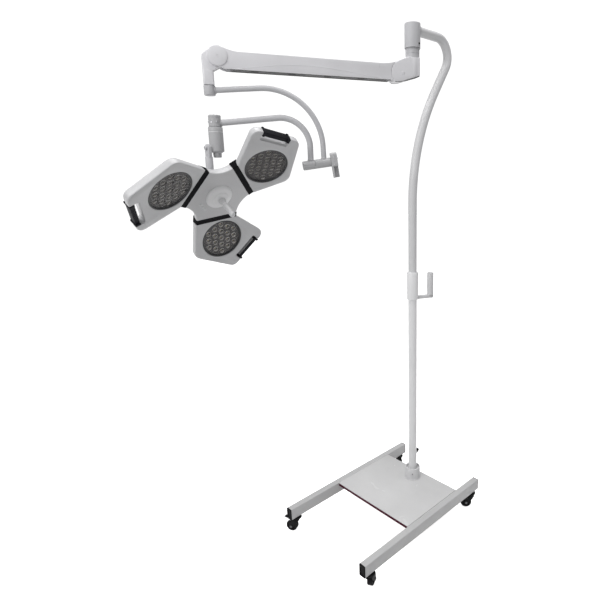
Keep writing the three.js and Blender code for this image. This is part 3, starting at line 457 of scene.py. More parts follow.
# Dark maroon slab under the plate: the dark maroon is painted shade, matched to the shaded front edge of the
# plate.
MAROON = surface("maroon_painted_shade", (0.07, 0.0025, 0.016), 0.6, relief=0.2, grain=500, mottle=0.15,
                 dust=0.01, specular=0.1)
CHROME = surface("bright_plating", (0.72, 0.72, 0.74), 0.16, metallic=1, relief=0.03, grain=500,
                 mottle=0.04)
BLACKED = surface("blacked_steel", (0.10, 0.10, 0.105), 0.38, metallic=1, relief=0.1, grain=600)
STEEL = surface("turned_steel", (0.52, 0.52, 0.54), 0.3, metallic=1, relief=0.08, grain=600,
                stretch=(1, 1, 9), scratches=0.05)
BOARD = surface("lamp_board", (0.050, 0.047, 0.045), 0.35, relief=0.08, grain=300, mottle=0.15,
                specular=0.3)
RIM = surface("lamp_bezel", (0.028, 0.028, 0.030), 0.4, relief=0.1, grain=700, mottle=0.1, specular=0.3)
DIE = surface("led_die", (0.55, 0.42, 0.12), 0.5, relief=0.2, grain=2000, mottle=0.2)
DARK = surface("shadow_black", (0.012, 0.012, 0.013), 0.6, relief=0.2, grain=500, mottle=0.2)
# Grey painted shade for the slot wall beside each grip bar.
SLOT_SHADE = surface("grip_slot_shade", (0.32, 0.32, 0.325), 0.5, relief=0.2, grain=700, mottle=0.1)
KEYPAD = surface("keypad_film", (0.62, 0.63, 0.645), 0.34, relief=0.2, grain=900, mottle=0.05)
LENS = clear_material("lens_acrylic", (0.5, 0.5, 0.5), 0.12)


def lamp_material(name, dark, bright, start, end):
    """Moulded optic with a painted glint and reflection: bright where it faces up, dark where it looks down.
    """
    n = Nodes(name)
    lit = n.span(n.up_facing(), 0, 1, start, end)
    fine = n.noise(500, 2.0)
    n.feed("Base Color", n.mix(lit, n.mix(n.span(fine, 0, 1), shade(dark, 0.8), dark),
                               n.mix(n.span(fine, 0, 1), shade(bright, 0.85), bright)))
    n.feed("Roughness", n.span(n.noise(40.0, 4.0), 0.16, 0.28))
    n.feed("Normal", n.bump(fine, 0.05, 0.0002))
    n.fix(Metallic=0.3)
    return n.material


# CUP paints a reflection in the cups and GLINT paints a glint on the rings: both are bright where the
# surface faces up.
CUP = lamp_material("reflector_cup_painted_reflection", (0.030, 0.027, 0.025), (0.32, 0.30, 0.28), -0.35, 0.3)
GLINT = lamp_material("optic_ring_painted_glint", (0.06, 0.056, 0.052), (0.80, 0.77, 0.74), -0.55, 0.1)
WINDOW = clear_material("window_acrylic", (0.3, 0.3, 0.32), 0.05)


def piece(obj, name, body, matrix, material, nodes=(), angle=32):
    moved(obj, matrix)
    obj.name = obj.data.name = name
    obj.data.materials.clear()
    obj.data.materials.append(material)
    obj.data.polygons.foreach_set("use_smooth", [True] * len(obj.data.polygons))
    obj.data.set_sharp_from_angle(angle=rad(angle))
    obj.data.update()
    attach(obj, body)
    if nodes:
        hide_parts(*([nodes] if isinstance(nodes, str) else nodes))
    return obj


def cap_screw(radius, origin, direction, height=2.0):
    r = radius
    profile = [(0, height * 0.35), (r * 0.5, height * 0.35), (r * 0.55, height * 0.95), (r * 0.86, height),
               (r, height * 0.8), (r, -0.5), (0, -0.5)]
    return spun(profile[::-1], origin, direction, 20)


def side_screw(radius, reach, angle, z, height, x=0):
    """Cap screw on the side of an upright cylinder that stands at x."""
    out = Vector((cos(rad(angle)), sin(rad(angle)), 0))
    return cap_screw(radius, out * reach + Vector((x, 0, z)), out, height)


# ---- base
RAIL_X, RAIL_Z, RAIL_HALF, RAIL_HIGH, RAIL_WALL = 230, 100, 15, 25, 2.5
RAIL_FRONT, RAIL_REAR = -537, 183
PLATE_FRONT, PLATE_REAR, PLATE_TOP = -273, 52, 125
BALLAST_BOTTOM, BALLAST_TOP = 108.7, 120.7
BEAD_R, BEAD_Z = 2.2, 119.5


def rail(side, x):
    outer = box_outline(RAIL_HALF, RAIL_HIGH, 3.2)
    inner = box_outline(RAIL_HALF - RAIL_WALL, RAIL_HIGH - RAIL_WALL, 1.5)
    path = ((outer, RAIL_FRONT), (outer, RAIL_REAR), (inner, RAIL_REAR), (inner, RAIL_FRONT))
    rings = [[(x + a, y, z + RAIL_Z) for a, z in outline] for outline, y in path]
    piece(loft(rings, looped=True), f"rail_tube_{side}", "base", POLE, RAIL, f"{side}_rail")


def end_plug(end, side, x):
    """Square plug with a raised rim round a sunken middle."""
    sign = 1 if end == "front" else -1
    y = RAIL_FRONT if end == "front" else RAIL_REAR
    steps = [(15, 25, 3.2, -0.3), (15, 25, 3.2, -3.2), (14.2, 24.2, 2.6, -4), (11.4, 21.4, 2, -4),
             (10.8, 20.8, 1.6, -3.4), (10.8, 20.8, 1.6, -1.6)]
    rings = [[(x + a, y + sign * d, RAIL_Z + b) for a, b in box_outline(w, h, r)] for w, h, r, d in steps]
    body = loft(rings)
    stem = block((x - 12, min(y, y + sign * 18), 78), (x + 12, max(y, y + sign * 18), 122), 1)
    piece(joined([body, stem]), f"plug_{end}_{side}", "base", POLE, PLUG,
          f"end_plug_{end}_{side}")


def weld(start, end):
    """Rippled fillet bead along an inside corner."""
    start, end = Vector(start), Vector(end)
    count = int((end - start).length / 5)
    rings = []
    for i in range(count * 2 + 1):
        p = start.lerp(end, i / (count * 2))
        r = BEAD_R * (0.86 + 0.14 * (i % 2))
        rings.append([p + Vector((r * cos(a), 0, r * sin(a)))
                      for a in (2 * pi * k / 8 for k in range(8))])
    return loft(rings)


def base():
    for side, x in (("left", -RAIL_X), ("right", RAIL_X)):
        rail(side, x)
        for end in ("front", "rear"):
            end_plug(end, side, x)
    edge = RAIL_X - RAIL_HALF
    plate = block((-edge + 0.3, PLATE_FRONT, PLATE_TOP - 4), (edge - 0.3, PLATE_REAR, PLATE_TOP), 0.8)
    piece(plate, "plate_top", "base", POLE, PLATE, "base_plate")
    ballast = block((-edge + 0.3, PLATE_FRONT, BALLAST_BOTTOM), (edge - 0.3, PLATE_REAR, BALLAST_TOP), 1.2)
    piece(ballast, "plate_ballast", "base", POLE, MAROON, "ballast_plate")
    beads = [weld((x, PLATE_FRONT + 4, BEAD_Z), (x, PLATE_REAR - 4, BEAD_Z)) for x in (0.8 - edge,
                                                                                       edge - 0.8)]
    piece(joined(beads), "plate_welds", "base", POLE, POWDER)
    bolts = [cap_screw(6.5, (x, y, BALLAST_BOTTOM), -Z, 5) for x in (-150, 150) for y in (-230, 10)]
    piece(joined(bolts), "ballast_bolts", "base", POLE, STEEL)


# ---- casters
TRAIL, AXLE_Z = -22, 25


def caster(corner, braked):
    place, _ = joint_place(f"swivel_caster_{corner}")
    _, axle = joint_place(f"spin_wheel_{corner}")
    m = local_frame(place.x, place.y, atan2(axle.y, axle.x))
    wheel, on_axle = f"wheel_{corner}", (0, TRAIL, AXLE_Z)
    tyre = [(16.5, -9.5), (19, -11), (22.5, -11), (24.2, -10), (25, -8), (25, 8), (24.2, 10), (22.5, 11),
            (19, 11), (16.5, 9.5)]
    piece(spun(tyre, on_axle, X, 56, closed=True), f"tyre_{corner}", wheel, m, TREAD,
          f"caster_wheel_{corner}")
    half = [(4.3, 9), (7.5, 9.6), (8.5, 8), (10, 5), (14, 5.5), (15.4, 9.8), (16.8, 10.2)]
    hub_rim = [(r, -x) for r, x in half] + half[::-1]
    piece(spun(hub_rim, on_axle, X, 48, closed=True), f"wheel_hub_{corner}", wheel, m, NYLON)
    cheek = ([(15, 60), (13, 62), (-12, 62), (TRAIL - 9.5, 34)] + arc(TRAIL, AXLE_Z, 10, 165, 345, 14)
             + [(6, 44)])
    plates = [soften(across(cheek, x0, x0 + 3), 0.8) for x0 in (-15.5, 12.5)]
    crown = block((-15.5, -14, 58), (15.5, 14, 63), 2, 3)
    fender = [polar(TRAIL, AXLE_Z, r, a)
              for r, turn in ((28.6, range(28, 83, 6)), (26.6, range(82, 27, -6))) for a in turn]
    plates.append(soften(across(fender, -12.4, 12.4), 0.6, 2, 40))
    stack = spun([(0, 58), (12, 58), (13, 60), (13, 65.2), (20.5, 65.2), (22, 66.4), (22, 69), (19, 71),
                  (13, 71.4), (12, 73), (12, 74.7), (0, 74.7)], sides=48)
    pin = rod(8, (-18.3, TRAIL, AXLE_Z), (18.3, TRAIL, AXLE_Z), 0.8, 24)
    nuts = [spun([(0, 0), (6, 0), (6.2, 0.6), (5.6, 2.6), (0, 2.8)], (s * 15.5, TRAIL, AXLE_Z), (s, 0, 0), 6)
            for s in (-1, 1)]
    piece(joined(plates + [crown, stack]), f"fork_{corner}", f"caster_{corner}", m, NYLON,
          f"caster_fork_{corner}")
    piece(joined([pin] + nuts), f"axle_{corner}", f"caster_{corner}", m, BLACKED)
    if not braked:
        return
    pad = [(-12, 56.1), (-29, 61.7), (-29, 62.9), (-12, 57.4)]
    tread = [(-9, 51), (-30, 57.6), (-33, 60), (-33, 62), (-30, 61), (-9, 55.2), (-2, 60), (3, 57), (4, 55),
             (-3, 51)]
    for outline, wide, edge, name, material, slot, node in (
            (tread, 10, 0.7, "pedal", CHROME, "bare_steel", f"brake_pedal_{corner}"),
            (pad, 5, 0.4, "pedal_pad", NYLON, "black_steel", ())):
        bent = across([(y + TRAIL - 2, z) for y, z in outline], -wide, wide)
        piece(soften(bent, edge), f"{name}_{corner}", f"pedal_{corner}", m, material, node)


# ---- pole
POLE_R, NECK_R, TUBE_WALL = 19, 18, 2.5
GLAND_AT, PUSH_BAR_X = (0, 19.3, 248), 84


def neck_path():
    """Gooseneck in the plane of X and Z: straight, wide bend, straight, tight bend, level into the hub."""
    lean, wide, tight, start, straight = 34, 800, 70, 1398, 131
    path = [(0, 0, z) for z in (1052, 1150, 1250, 1340)]
    path += [(wide - wide * cos(rad(a)), 0, start + wide * sin(rad(a)))
             for a in [lean * i / 26 for i in range(27)]]
    x, _, z = path[-1]
    x, z = x + straight * sin(rad(lean)), z + straight * cos(rad(lean))
    cx, cz = x - tight * cos(rad(lean)), z + tight * sin(rad(lean))
    path += [(cx + tight * cos(rad(a)), 0, cz + tight * sin(rad(a)))
             for a in [-lean + (90 + lean) * i / 20 for i in range(21)]]
    path.append((29, 0, cz + tight))
    return path


def pole():
    collar = [(19.3, 125.3), (34.0, 125.3), (34.5, 126), (34.5, 176), (33.6, 177.6), (32, 178), (29.5, 178),
              (28.6, 177.2), (28.4, 139), (19.3, 139)]
    piece(lathe(collar, 64, True), "foot_collar", "base", POLE, POWDER, "pole_collar")
    ring = [(19.4, 139), (28.2, 139), (28.2, 169), (26.5, 171.5), (19.4, 171.5)]
    piece(lathe(ring, 48, True), "foot_collar_liner", "base", POLE, POWDER)
    bead = [(34 + 2.6 * cos(rad(a)), 126.4 + 2.4 * sin(rad(a))) for a in range(0, 360, 45)]
    screws = [side_screw(3.6, 34.3, a, 156, 1.6) for a in (-50, 70, 190)]
    piece(lathe([(max(r, 33.4), max(z, 125.2)) for r, z in bead], 72, True), "foot_bead", "base", POLE,
          POWDER)
    piece(joined(screws), "foot_screws", "base", POLE, STEEL)
    lower = tube([(0, 0, z) for z in (125.6, 400, 700, 1048)], POLE_R, 56, TUBE_WALL)
    piece(lower, "pole_tube_lower", "base", POLE, TUBE, "lower_pole")
    sleeve = [(19.3, 989), (24.2, 989), (25, 990), (25, 1105.5), (23.4, 1108.6), (18.4, 1109), (18.4, 1049),
              (19.3, 1048)]
    piece(lathe(sleeve, 64, True), "coupling_sleeve", "base", POLE, TUBE, "pole_sleeve")
    screws = [side_screw(3.4, 24.7, -150, z, 1.8) for z in (1012, 1088)]
    piece(joined(screws), "coupling_screws", "base", POLE, STEEL)
    tie = block((22, -10, 989), (PUSH_BAR_X, 10, 1002), 1.6, 3)
    cutter = rod(50.6, (0, 0, 980), (0, 0, 1110), 0.1, 64)
    tie = cut(tie, cutter)
    foot = spun([(0, 989.4), (13, 989.4), (14, 990.4), (14, 1002), (0, 1002)], (PUSH_BAR_X, 0, 0), sides=48)
    upright = [(0, 996), (14, 996), (14, 1097), (13.4, 1099.4), (12.6, 1100), (11.8, 1099.4), (11.4, 1098),
               (11.4, 1003), (0, 1003)]
    post = spun(upright, (PUSH_BAR_X, 0, 0), sides=48)
    piece(joined([tie, foot, post]), "push_bar", "base", HANDLE_FRAME, POWDER, "push_handle")
    bead = tube([(24.6, y, 1002.2 - abs(y) * 0.02) for y in range(-9, 10, 2)], 1.5, 10)
    piece(bead, "push_bar_bead", "base", HANDLE_FRAME, POWDER)
    goose = tube(neck_path(), NECK_R, 48, TUBE_WALL)
    piece(goose, "gooseneck_tube", "base", NECK_PLANE, POWDER, "gooseneck")
    bead = spun([(18.0, 0), (20.3, 0.6), (20.6, 2.2), (19.3, 3.6), (18.0, 4)], (30.5, 0, 2063), X, 48, True)
    piece(bead, "gooseneck_bead", "base", NECK_PLANE, POWDER)
    gland = [(3.4, 0), (10.4, 0), (11, 0.6), (11, 3.4), (10.4, 4), (8.6, 4.6), (8.6, 13), (7.6, 16.5),
             (6, 19.6), (4.4, 20), (3.4, 19)]
    nut = spun([(8.6, 5), (10.6, 5.4), (10.6, 11.6), (8.6, 12)], GLAND_AT, (0, 1, 0), 6, True)
    body = spun(gland, GLAND_AT, (0, 1, 0), 36, True)
    piece(joined([body, nut]), "inlet_gland", "base", POLE, PLUG, "cable_gland")


# ---- hub
def hub():
    sleeve = [(22, 1992), (29.6, 1992), (30, 1993.2), (30, 1995), (31, 1996), (31, 2082), (30.2, 2084.3),
              (28.4, 2085), (0, 2085), (0, 2074), (22, 2074)]
    piece(lathe(sleeve, 72), "hub_can", "base", POLE, HUB, "hub_sleeve")
    rim = [(30.1, 1993.8), (30.5, 1993.8), (30.5, 1995.3), (30.1, 1995.3)]
    piece(lathe(rim, 72, True), "hub_shadow_rim", "base", POLE, DARK)
    plug = [(0, 2083.6), (23.5, 2083.6), (24, 2084.95), (0, 2085)]
    piece(lathe(plug, 48), "hub_cap_disc", "base", POLE, HUB)
    piece(side_screw(4, 30.6, 8, 2010, 2.2), "hub_grub_screw", "base", POLE, DARK,
          "hub_set_screw")


HUB_PIVOT, KNUCKLE_PIVOT = (50.0, 1900.0), (725.6, 1912.0)
SIDES = ((-1, "left"), (1, "right"))
SEAM = 48


def hub_bracket():
    s, z = HUB_PIVOT
    outline = [(-22, 1960), (-22, 1893)] + curve3((-22, 1893), (28, 1877), (53, 1869.4), 10)
    low, high = -42.3, 63.9
    first = polar(s, z, SEAM, low)
    outline += curve3((53, 1869.4), (70, 1865.6), first, 6)
    outline += arc(s, z, SEAM, low, high, 24)[1:]
    outline += curve3(outline[-1], (49, 1952.5), (27, 1960), 10)
    hood = soften(slab(outline, -26, 26), 4.5, 4, 25)
    back = lathe([(0, 1891), (25, 1891), (27, 1892), (28, 1894), (28, 1956.5), (27, 1959.8), (0, 1960)], 64)
    slope = slab([(-60, 1850), (60, 1850), (60, 1866), (20, 1880.5), (-22, 1892), (-60, 1902)], -60, 60)
    hood = fuse(hood, back)
    hood = cut(hood, slope)
    cavity = slab([(24, 1850), (24, 1930), (34, 1936), (62, 1936), (110, 1936), (110, 1850)], -21, 21)
    hood = soften(cut(hood, cavity), 0.9, 2, 40)
    piece(hood, "hub_hood", "hub_arm", ARM, ENAMEL, "hub_bracket", angle=28)
    stem = [(0, 1958), (27.3, 1958), (27.3, 1959.8), (27.1, 1960.8), (27.1, 1973.5), (26.2, 1974),
            (26.2, 1975),
            (27.3, 1975.6), (27.3, 1990.6), (26.6, 1991.6), (15, 1991.6), (15, 2067), (0, 2067)]
    piece(lathe(stem, 72), "hub_stem", "hub_arm", ARM, HUB)
    belly = [(-20, 1891)] + curve3((-20, 1891), (28, 1877), (53, 1868.6))
    belly += curve3((53, 1868.6), (68, 1865), (82, 1866.6), 5)
    under = [slab([(-20, 1890.5), (20, 1879), (22, 1878.4), (22, 1881), (-20, 1893.5)], -21, 21)]
    under += [slab(belly + [(x, z + 3) for x, z in reversed(belly)], y, y + 3) for y in (-24.6, 21.6)]
    piece(soften(joined(under), 0.6, 2), "hub_underside", "hub_arm", ARM, DARK)
    pin = rod(12, (s, -27.4, z), (s, 27.4, z), 0.8)
    cap = [(0, 0), (4.2, 0), (4.5, 0.4), (4, 1.2), (1.8, 1.4), (1.6, 0.9), (0, 0.9)]
    caps = [spun(cap, (s, 26 * side, z), (0, side, 0), 32) for side in (-1, 1)]
    piece(joined([pin] + caps), "hub_pin", "hub_arm", ARM, ENAMEL, "hub_pivot_pin")


# ---- spring arm
def beam():
    (s, z), (ks, kz) = HUB_PIVOT, KNUCKLE_PIVOT
    outline = [(94, 1872.5), (ks - 26, 1872.5)]
    outline += curve3((ks - 26, 1872.5), (ks - 14, 1874.5), (ks - 6.2, kz - 32.4))
    outline += arc(ks, kz, 33, -100.8, 118.8, 40)[1:]
    outline += curve3(outline[-1], (ks - 42, 1931), (ks - 66, 1929)) + [(400, 1929), (140, 1929)]
    outline += curve3((140, 1929), (105, 1930), (82.5, 1937)) + [(70, 1942), (70, 1905)]
    shell = slab(outline, -26, 26)
    clearance = rod(2 * SEAM + 1.6, (s, -40, z), (s, 40, z), 0.1, 96)
    shell = soften(cut(shell, clearance), 4.2, 4, 28)
    channel = block((60, -21, 1860), (ks - 44, 21, 1923), 0)
    mouth = block((ks - 44, -18.4, 1860), (ks + 60, 18.4, 1960), 0)
    shell = soften(cut(shell, channel, mouth), 0.8, 2, 45)
    piece(shell, "arm_shell", "spring_arm", ARM, ENAMEL, "arm_beam", angle=28)
    root = [(132, z - 8), (132, 1923), (96, 1923), (s + 6, z + 20.5)] + arc(s, z, 20.5, 82, 286, 20)
    plates = [soften(slab(root, y, y + 7), 0.6) for y in (-20, 13)]
    hole = rod(12.6, (s, -60, z), (s, 60, z), 0.1)
    ears = cut(joined(plates), hole)
    piece(ears, "arm_root", "spring_arm", ARM, DARK)
    cover = block((110, -20.6, 1873), (ks - 50, 20.6, 1875.6), 0.7)
    lips = [block((100, y - 0.8, 1871.4), (ks - 28, y + 0.8, 1874), 0.5) for y in (-21.4, 21.4)]
    piece(joined([cover] + lips), "arm_underside", "spring_arm", ARM, DARK,
          "arm_bottom_cover")
    slots = [block((x, -3, 1872.2), (x + 26, 3, 1873.4), 0.8) for x in (200, 330, 460, 590)]
    piece(joined(slots), "arm_cover_clips", "spring_arm", ARM, PLUG)
    for side, name in SIDES:
        swoop = [(663 - 548 * t / 40, side * 26.0, 1874.6 + 26 * sin(pi * (t / 40) ** 0.85) ** 1.3)
                 for t in range(41)]
        piece(tube(swoop, 0.75, 8), f"arm_seam_{name}", "spring_arm", ARM, ENAMEL)
    disc = [(0, 0), (31.6, 0), (31.9, 0.6), (31.2, 2.2), (29.4, 2.9), (3.6, 3), (3.4, 2.2), (2.2, 2.2),
            (2, 3.1), (0, 3.2)]
    for (side, name), node in zip(SIDES, ("knuckle_pivot_pin", "pivot_cover")):
        obj = spun(disc, (ks, side * 26.3, kz), (0, side, 0), 72)
        if side < 0:
            obj = joined([obj, rod(12, (ks, -27, kz), (ks, 25.6, kz), 0.6)])
        piece(obj, f"pivot_disc_{name}", "spring_arm", ARM, ENAMEL, node)


def balance_parts():
    turns, per_turn, length, start, coil_r, mid_z = 38, 14, 300, 150, 9.4, 1911.5
    coil = []
    for i in range(turns * per_turn + 1):
        a = 2 * pi * i / per_turn
        coil.append((start + length * i / (turns * per_turn), coil_r * cos(a), mid_z + coil_r * sin(a)))
    spring = tube(coil, 1.5, 6)
    strut = rod(8, (138, 0, mid_z), (474, 0, mid_z), 0.5, 24)
    seats = [spun([(0, 0), (11, 0), (11, 7), (0, 7)], (x, 0, mid_z), X, 32) for x in (138, 452)]
    piece(joined([spring, strut] + seats), "balance_coil", "spring_arm", ARM, STEEL,
          "balance_spring")
    (s, z), (ks, kz) = HUB_PIVOT, KNUCKLE_PIVOT
    a, b = (s, 0, z - 17), (ks, 0, kz - 17)
    link = [rod(8, a, b, 0.3, 20)] + [rod(14, (p[0], -4, p[2]), (p[0], 4, p[2]), 0.6) for p in (a, b)]
    link += [rod(6, (p[0], -11.4, p[2]), (p[0], 11.4, p[2]), 0.4) for p in (a, b)]
    piece(joined(link), "level_link", "link", ARM, STEEL, "levelling_rod")


def knuckle():
    ks, kz = KNUCKLE_PIVOT
    front, rear, half = 776.5, 741.5, 20
    outline = [(front, 1850), (front, kz)] + curve3((front, kz), (front - 2, kz + 8), (ks + 22, kz + 24), 6)
    outline += arc(ks, kz, 32, 48.6, 237.6, 36)[1:] + [(rear, kz - 46), (rear, 1850)]
    tongue = soften(slab(outline, -17.6, 17.6), 2.2, 3, 25)
    post = soften(prism([(759 + a, b) for a, b in box_outline(17.5, half, 5, 8)], 1820.6, kz - 44), 1.4, 3,
                  50)
    body = fuse(tongue, post)
    slot = block((ks - 60, -5, kz - 42), (ks + 12, 5, kz + 60), 0)
    body = soften(cut(body, slot), 0.6, 2, 45)
    piece(body, "knuckle_body", "knuckle", ARM, ENAMEL, "knuckle", angle=28)
    piece(rod(16, (759, 0, 1792.4), (759, 0, 1824), 0.6), "knuckle_spigot", "knuckle", ARM, STEEL)
    screw = cap_screw(3, (759, -half + 0.2, 1834), (0, -1, 0), 1.6)
    piece(screw, "knuckle_stop_screw", "knuckle", ARM, STEEL)


# ---- curved arms
JOINT_FACE = Vector((349, 0, 1556))
ALONG = Vector((cos(BARREL_SLOPE), 0, sin(BARREL_SLOPE)))


def on_barrel(distance):
    return JOINT_FACE + ALONG * distance


def bend(cx, cz, r, start, end, steps=30):
    return [(x, 0, z) for x, z in arc(cx, cz, r, start, end, steps)]


def first_arm():
    path = [(0, 0, 1803.5), (60, 0, 1807.7), (120, 0, 1811.7)] + bend(180, 1615, 200, 94, 4, 40)
    path += [tuple(on_barrel(33))]
    piece(tube(path, 9.5, 32), "first_arm_tube", "first_arm", CURVED, HUB, "first_curved_arm")
    rim = [(8.3, 1790), (0, 1790), (0, 1787), (16.6, 1787), (18, 1787.6), (19, 1790), (19, 1818),
           (18.6, 1819.2), (17.6, 1820), (8.3, 1820)]
    can = lathe(rim, 64)
    seam = lathe([(18.9, 1816.2), (19.25, 1816.4), (19.25, 1817.4), (18.9, 1817.6)], 64, True)
    bead = spun([(9.4, 0), (12.4, 0.4), (12.2, 2), (9.4, 3.4)], (18.4, 0, 1804.8), (1, 0, 0.07), 32, True)
    piece(joined([can, seam, bead]), "first_arm_hub", "first_arm", CURVED, HUB)
    profile = [(8.3, 0.3), (15.6, 0.3), (16.5, 1.2), (16.5, 56.4), (15.4, 57.8), (0, 58), (0, 40), (8.3, 40)]
    barrel = spun(profile, JOINT_FACE, ALONG, 64)
    bead = spun([(9.4, 0), (11.6, 0.6), (10.6, 2.4), (9.4, 3)], on_barrel(33) + Z * 15, Z, 32, True)
    piece(joined([barrel, bead]), "barrel_outer", "first_arm", CURVED, JOINT)
    origin = on_barrel(58.3)
    m = CURVED @ Matrix.Translation(origin) @ Matrix.Rotation(-BARREL_SLOPE, 4, "Y")
    plate = rounded([(-17, -18, 2.5), (17, -18, 2.5), (17, 32, 10), (-17, 32, 10)])
    box = soften(across(plate, 0, 24), 1.6, 3, 35)
    holes = [rod(4.4, (-2, y, z), (30, y, z), 0.1, 20) for y, z in ((0, 24), (-8, 10), (8, 10), (0, -6))]
    box = cut(box, *holes)
    tab = block((0, -15, -58), (7, 15, -14), 1.4, 3)
    tab = cut(tab, block((-2, -6, -44), (9, 2, -26), 1.0))
    lip = block((0, 9, -57.6), (24, 15, -14), 1.2, 2)
    nuts = [cap_screw(4.2, (24, y, 10), X) for y in (-8, 8)]
    nuts += [cap_screw(2.5, (12, side * 16.9, z), (0, side, 0), 1.4) for side in (-1, 1) for z in (-10, 4,
                                                                                                   16)]
    piece(joined([soften(box, 0.5, 2, 50), tab, lip]), "end_plate", "first_arm", m, JOINT,
          "end_bracket")
    piece(joined(nuts), "end_plate_screws", "first_arm", m, STEEL)


def second_arm():
    rise, cx, cz, r = 5.5, 233.4, 1617, 100
    leave = polar(cx, cz, r, 90 + rise)
    end_z = leave[1] - (leave[0] - 8) * tan(rad(rise))
    path = [(cx + r, 0, 1556), (cx + r, 0, 1590)] + bend(cx, cz, r, 0, 90 + rise, 30)
    path += [(140, 0, leave[1] - (leave[0] - 140) * tan(rad(rise))), (8, 0, end_z)]
    piece(tube(path, 10.5, 32), "second_arm_tube", "second_arm", CURVED, HUB,
          "second_curved_arm")
    profile = [(0, -46), (13, -46), (14.6, -45.2), (16.5, -43), (16.5, -1.2), (15.6, -0.3), (7.9, -0.3),
               (7.9, 38), (0, 38)]
    barrel = spun(profile, JOINT_FACE, ALONG, 64)
    cap = spun([(0, -46.6), (9, -46.6), (9.6, -46), (0, -45.9)], JOINT_FACE, ALONG, 32)
    bead = spun([(10.4, 0), (12.6, 0.4), (11.8, 2.4), (10.4, 3.2)], (333.4, 0, 1570), (0, 0, 1), 32, True)
    piece(joined([barrel, cap, bead]), "barrel_inner", "second_arm", CURVED, JOINT)
    ring = [(8.3, 1684.2), (20, 1684.2), (21, 1685), (21, 1712), (20.3, 1713), (20.3, 1714.2), (21, 1715),
            (21, 1720.6), (19.4, 1722.8), (17, 1723), (0, 1723), (0, 1715), (8.3, 1715)]
    can = spun(ring, (8, 0, 0), sides=64)
    bead = spun([(10.4, 0), (13.6, 0.4), (13, 2.2), (10.4, 3.4)], (28, 0, 1697.6), (1, 0, 0.1), 32, True)
    piece(joined([can, bead]), "swivel_clamp", "second_arm", CURVED, JOINT)
    screws = [side_screw(3.2, 20.8, a, 1700, 2.0, 8) for a in (-170, -110, -60, 60, 120)]
    screws += [cap_screw(2.4, (*polar(8, 0, 12, a), 1722.6), Z, 1.6) for a in (30, 150, 270)]
    piece(joined(screws), "swivel_clamp_screws", "second_arm", CURVED, STEEL)


# ---- head joint
def head_joint():
    can = [(0, 1580), (11, 1580), (13, 1581), (14, 1583), (14.4, 1595), (17, 1596.5), (19.5, 1599),
           (23, 1600),
           (24.2, 1601.4), (24.5, 1603), (24.5, 1664), (23.9, 1664.6), (23.9, 1668.4), (24.5, 1669),
           (24.5, 1681.4),
           (23.6, 1683), (8, 1683.4), (8, 1711.6), (0, 1712)]
    piece(lathe(can, 72), "swivel_can", "swivel", SWIVEL, JOINT, "swivel_housing")
    ring = lathe([(23.8, 1665), (24.7, 1665.2), (24.7, 1667.8), (23.8, 1668)], 72, True)
    piece(ring, "swivel_ring", "swivel", SWIVEL, WAND)
    pad = spun([(0, 10), (12, 10), (12, 26.4), (11.2, 27.6), (0, 27.7)], (0, 0, 1612), (0, -1, 0), 48)
    piece(pad, "swivel_boss", "swivel", SWIVEL, JOINT)
    bolt = rod(8, (0, 14, 1612), (0, -7, 1612), 0.6)
    knob = spun([(0, 0), (7.2, 0), (7.5, 0.6), (7.5, 5), (6.6, 6), (3.2, 6.1), (3, 4.6), (0, 4.5)],
                (0, -6.3, 1612),
                (0, -1, 0), 12)
    piece(joined([bolt, knob]), "tilt_knob", "swivel", NECK, HUB, "tilt_bolt")
    lug = [(13, 1578), (13, 1612)] + arc(0, 1612, 13, 0, 180, 24)[1:] + [(-13, 1578)]
    upper = soften(slab(lug, -6, 6), 1.4, 3, 35)
    hinge_z = hinge_at.z * 1000
    lower = [(-13, hinge_z + 26), (-13, hinge_z)] + arc(0, hinge_z, 13, 180, 360,
                                                        24)[1:] + [(13, hinge_z + 26)]
    lower = soften(slab(lower, -7, 7), 1.4, 3, 35)
    shaft = [(0, hinge_z + 19), (12, hinge_z + 19), (13, hinge_z + 21), (13, 1580), (12, 1582.4), (0, 1583)]
    piece(joined([upper, lower, lathe(shaft, 56)]), "neck_post", "neck", NECK, HUB, "neck")


# ---- head
FACE_Z, BACK_Z, HINGE_R = -55.0, -21.0, 104.0
SPIN, FOLD = rad(48.7), rad(13)
PETAL = [(115, 80, 4), (248, 93, 36), (338, -65, 26), (214, -197, 26), (115, -77, 4)]
LAMP_AT, LAMP_R = (196 - HINGE_R, -18.0), 77.0
GRIP_LENGTH, GRIP_EDGE, GRIP_WIDE, SLOT_DEEP = 104.0, 2.0, 15.0, 33.0


def spoke(i):
    return HEAD @ Matrix.Rotation(SPIN + rad(120 * i), 4, "Z")


def petal_frame(i):
    return (spoke(i) @ Matrix.Translation((HINGE_R, 0, FACE_Z)) @ Matrix.Rotation(FOLD, 4, "Y")
            @ Matrix.Translation((0, 0, -FACE_Z)))


def grip_matrix():
    (ax, ay, _), (bx, by, _) = PETAL[2], PETAL[3]
    middle = Vector(((ax + bx) / 2 - HINGE_R, (ay + by) / 2, 0))
    angle = atan2(ay - by, ax - bx)
    return Matrix.Translation(middle) @ Matrix.Rotation(angle, 4, "Z")


CROWN = [(4.2, 0.0), (2.6, 0.35), (1.2, 1.2), (0.3, 2.6), (0.0, 4.2), (0.0, 12.0), (0.2, 17.0), (1.0, 21.5),
         (2.6, 25.6), (5.2, 29.0), (8.8, 31.8), (13.0, 33.4), (18.0, 34.0)]


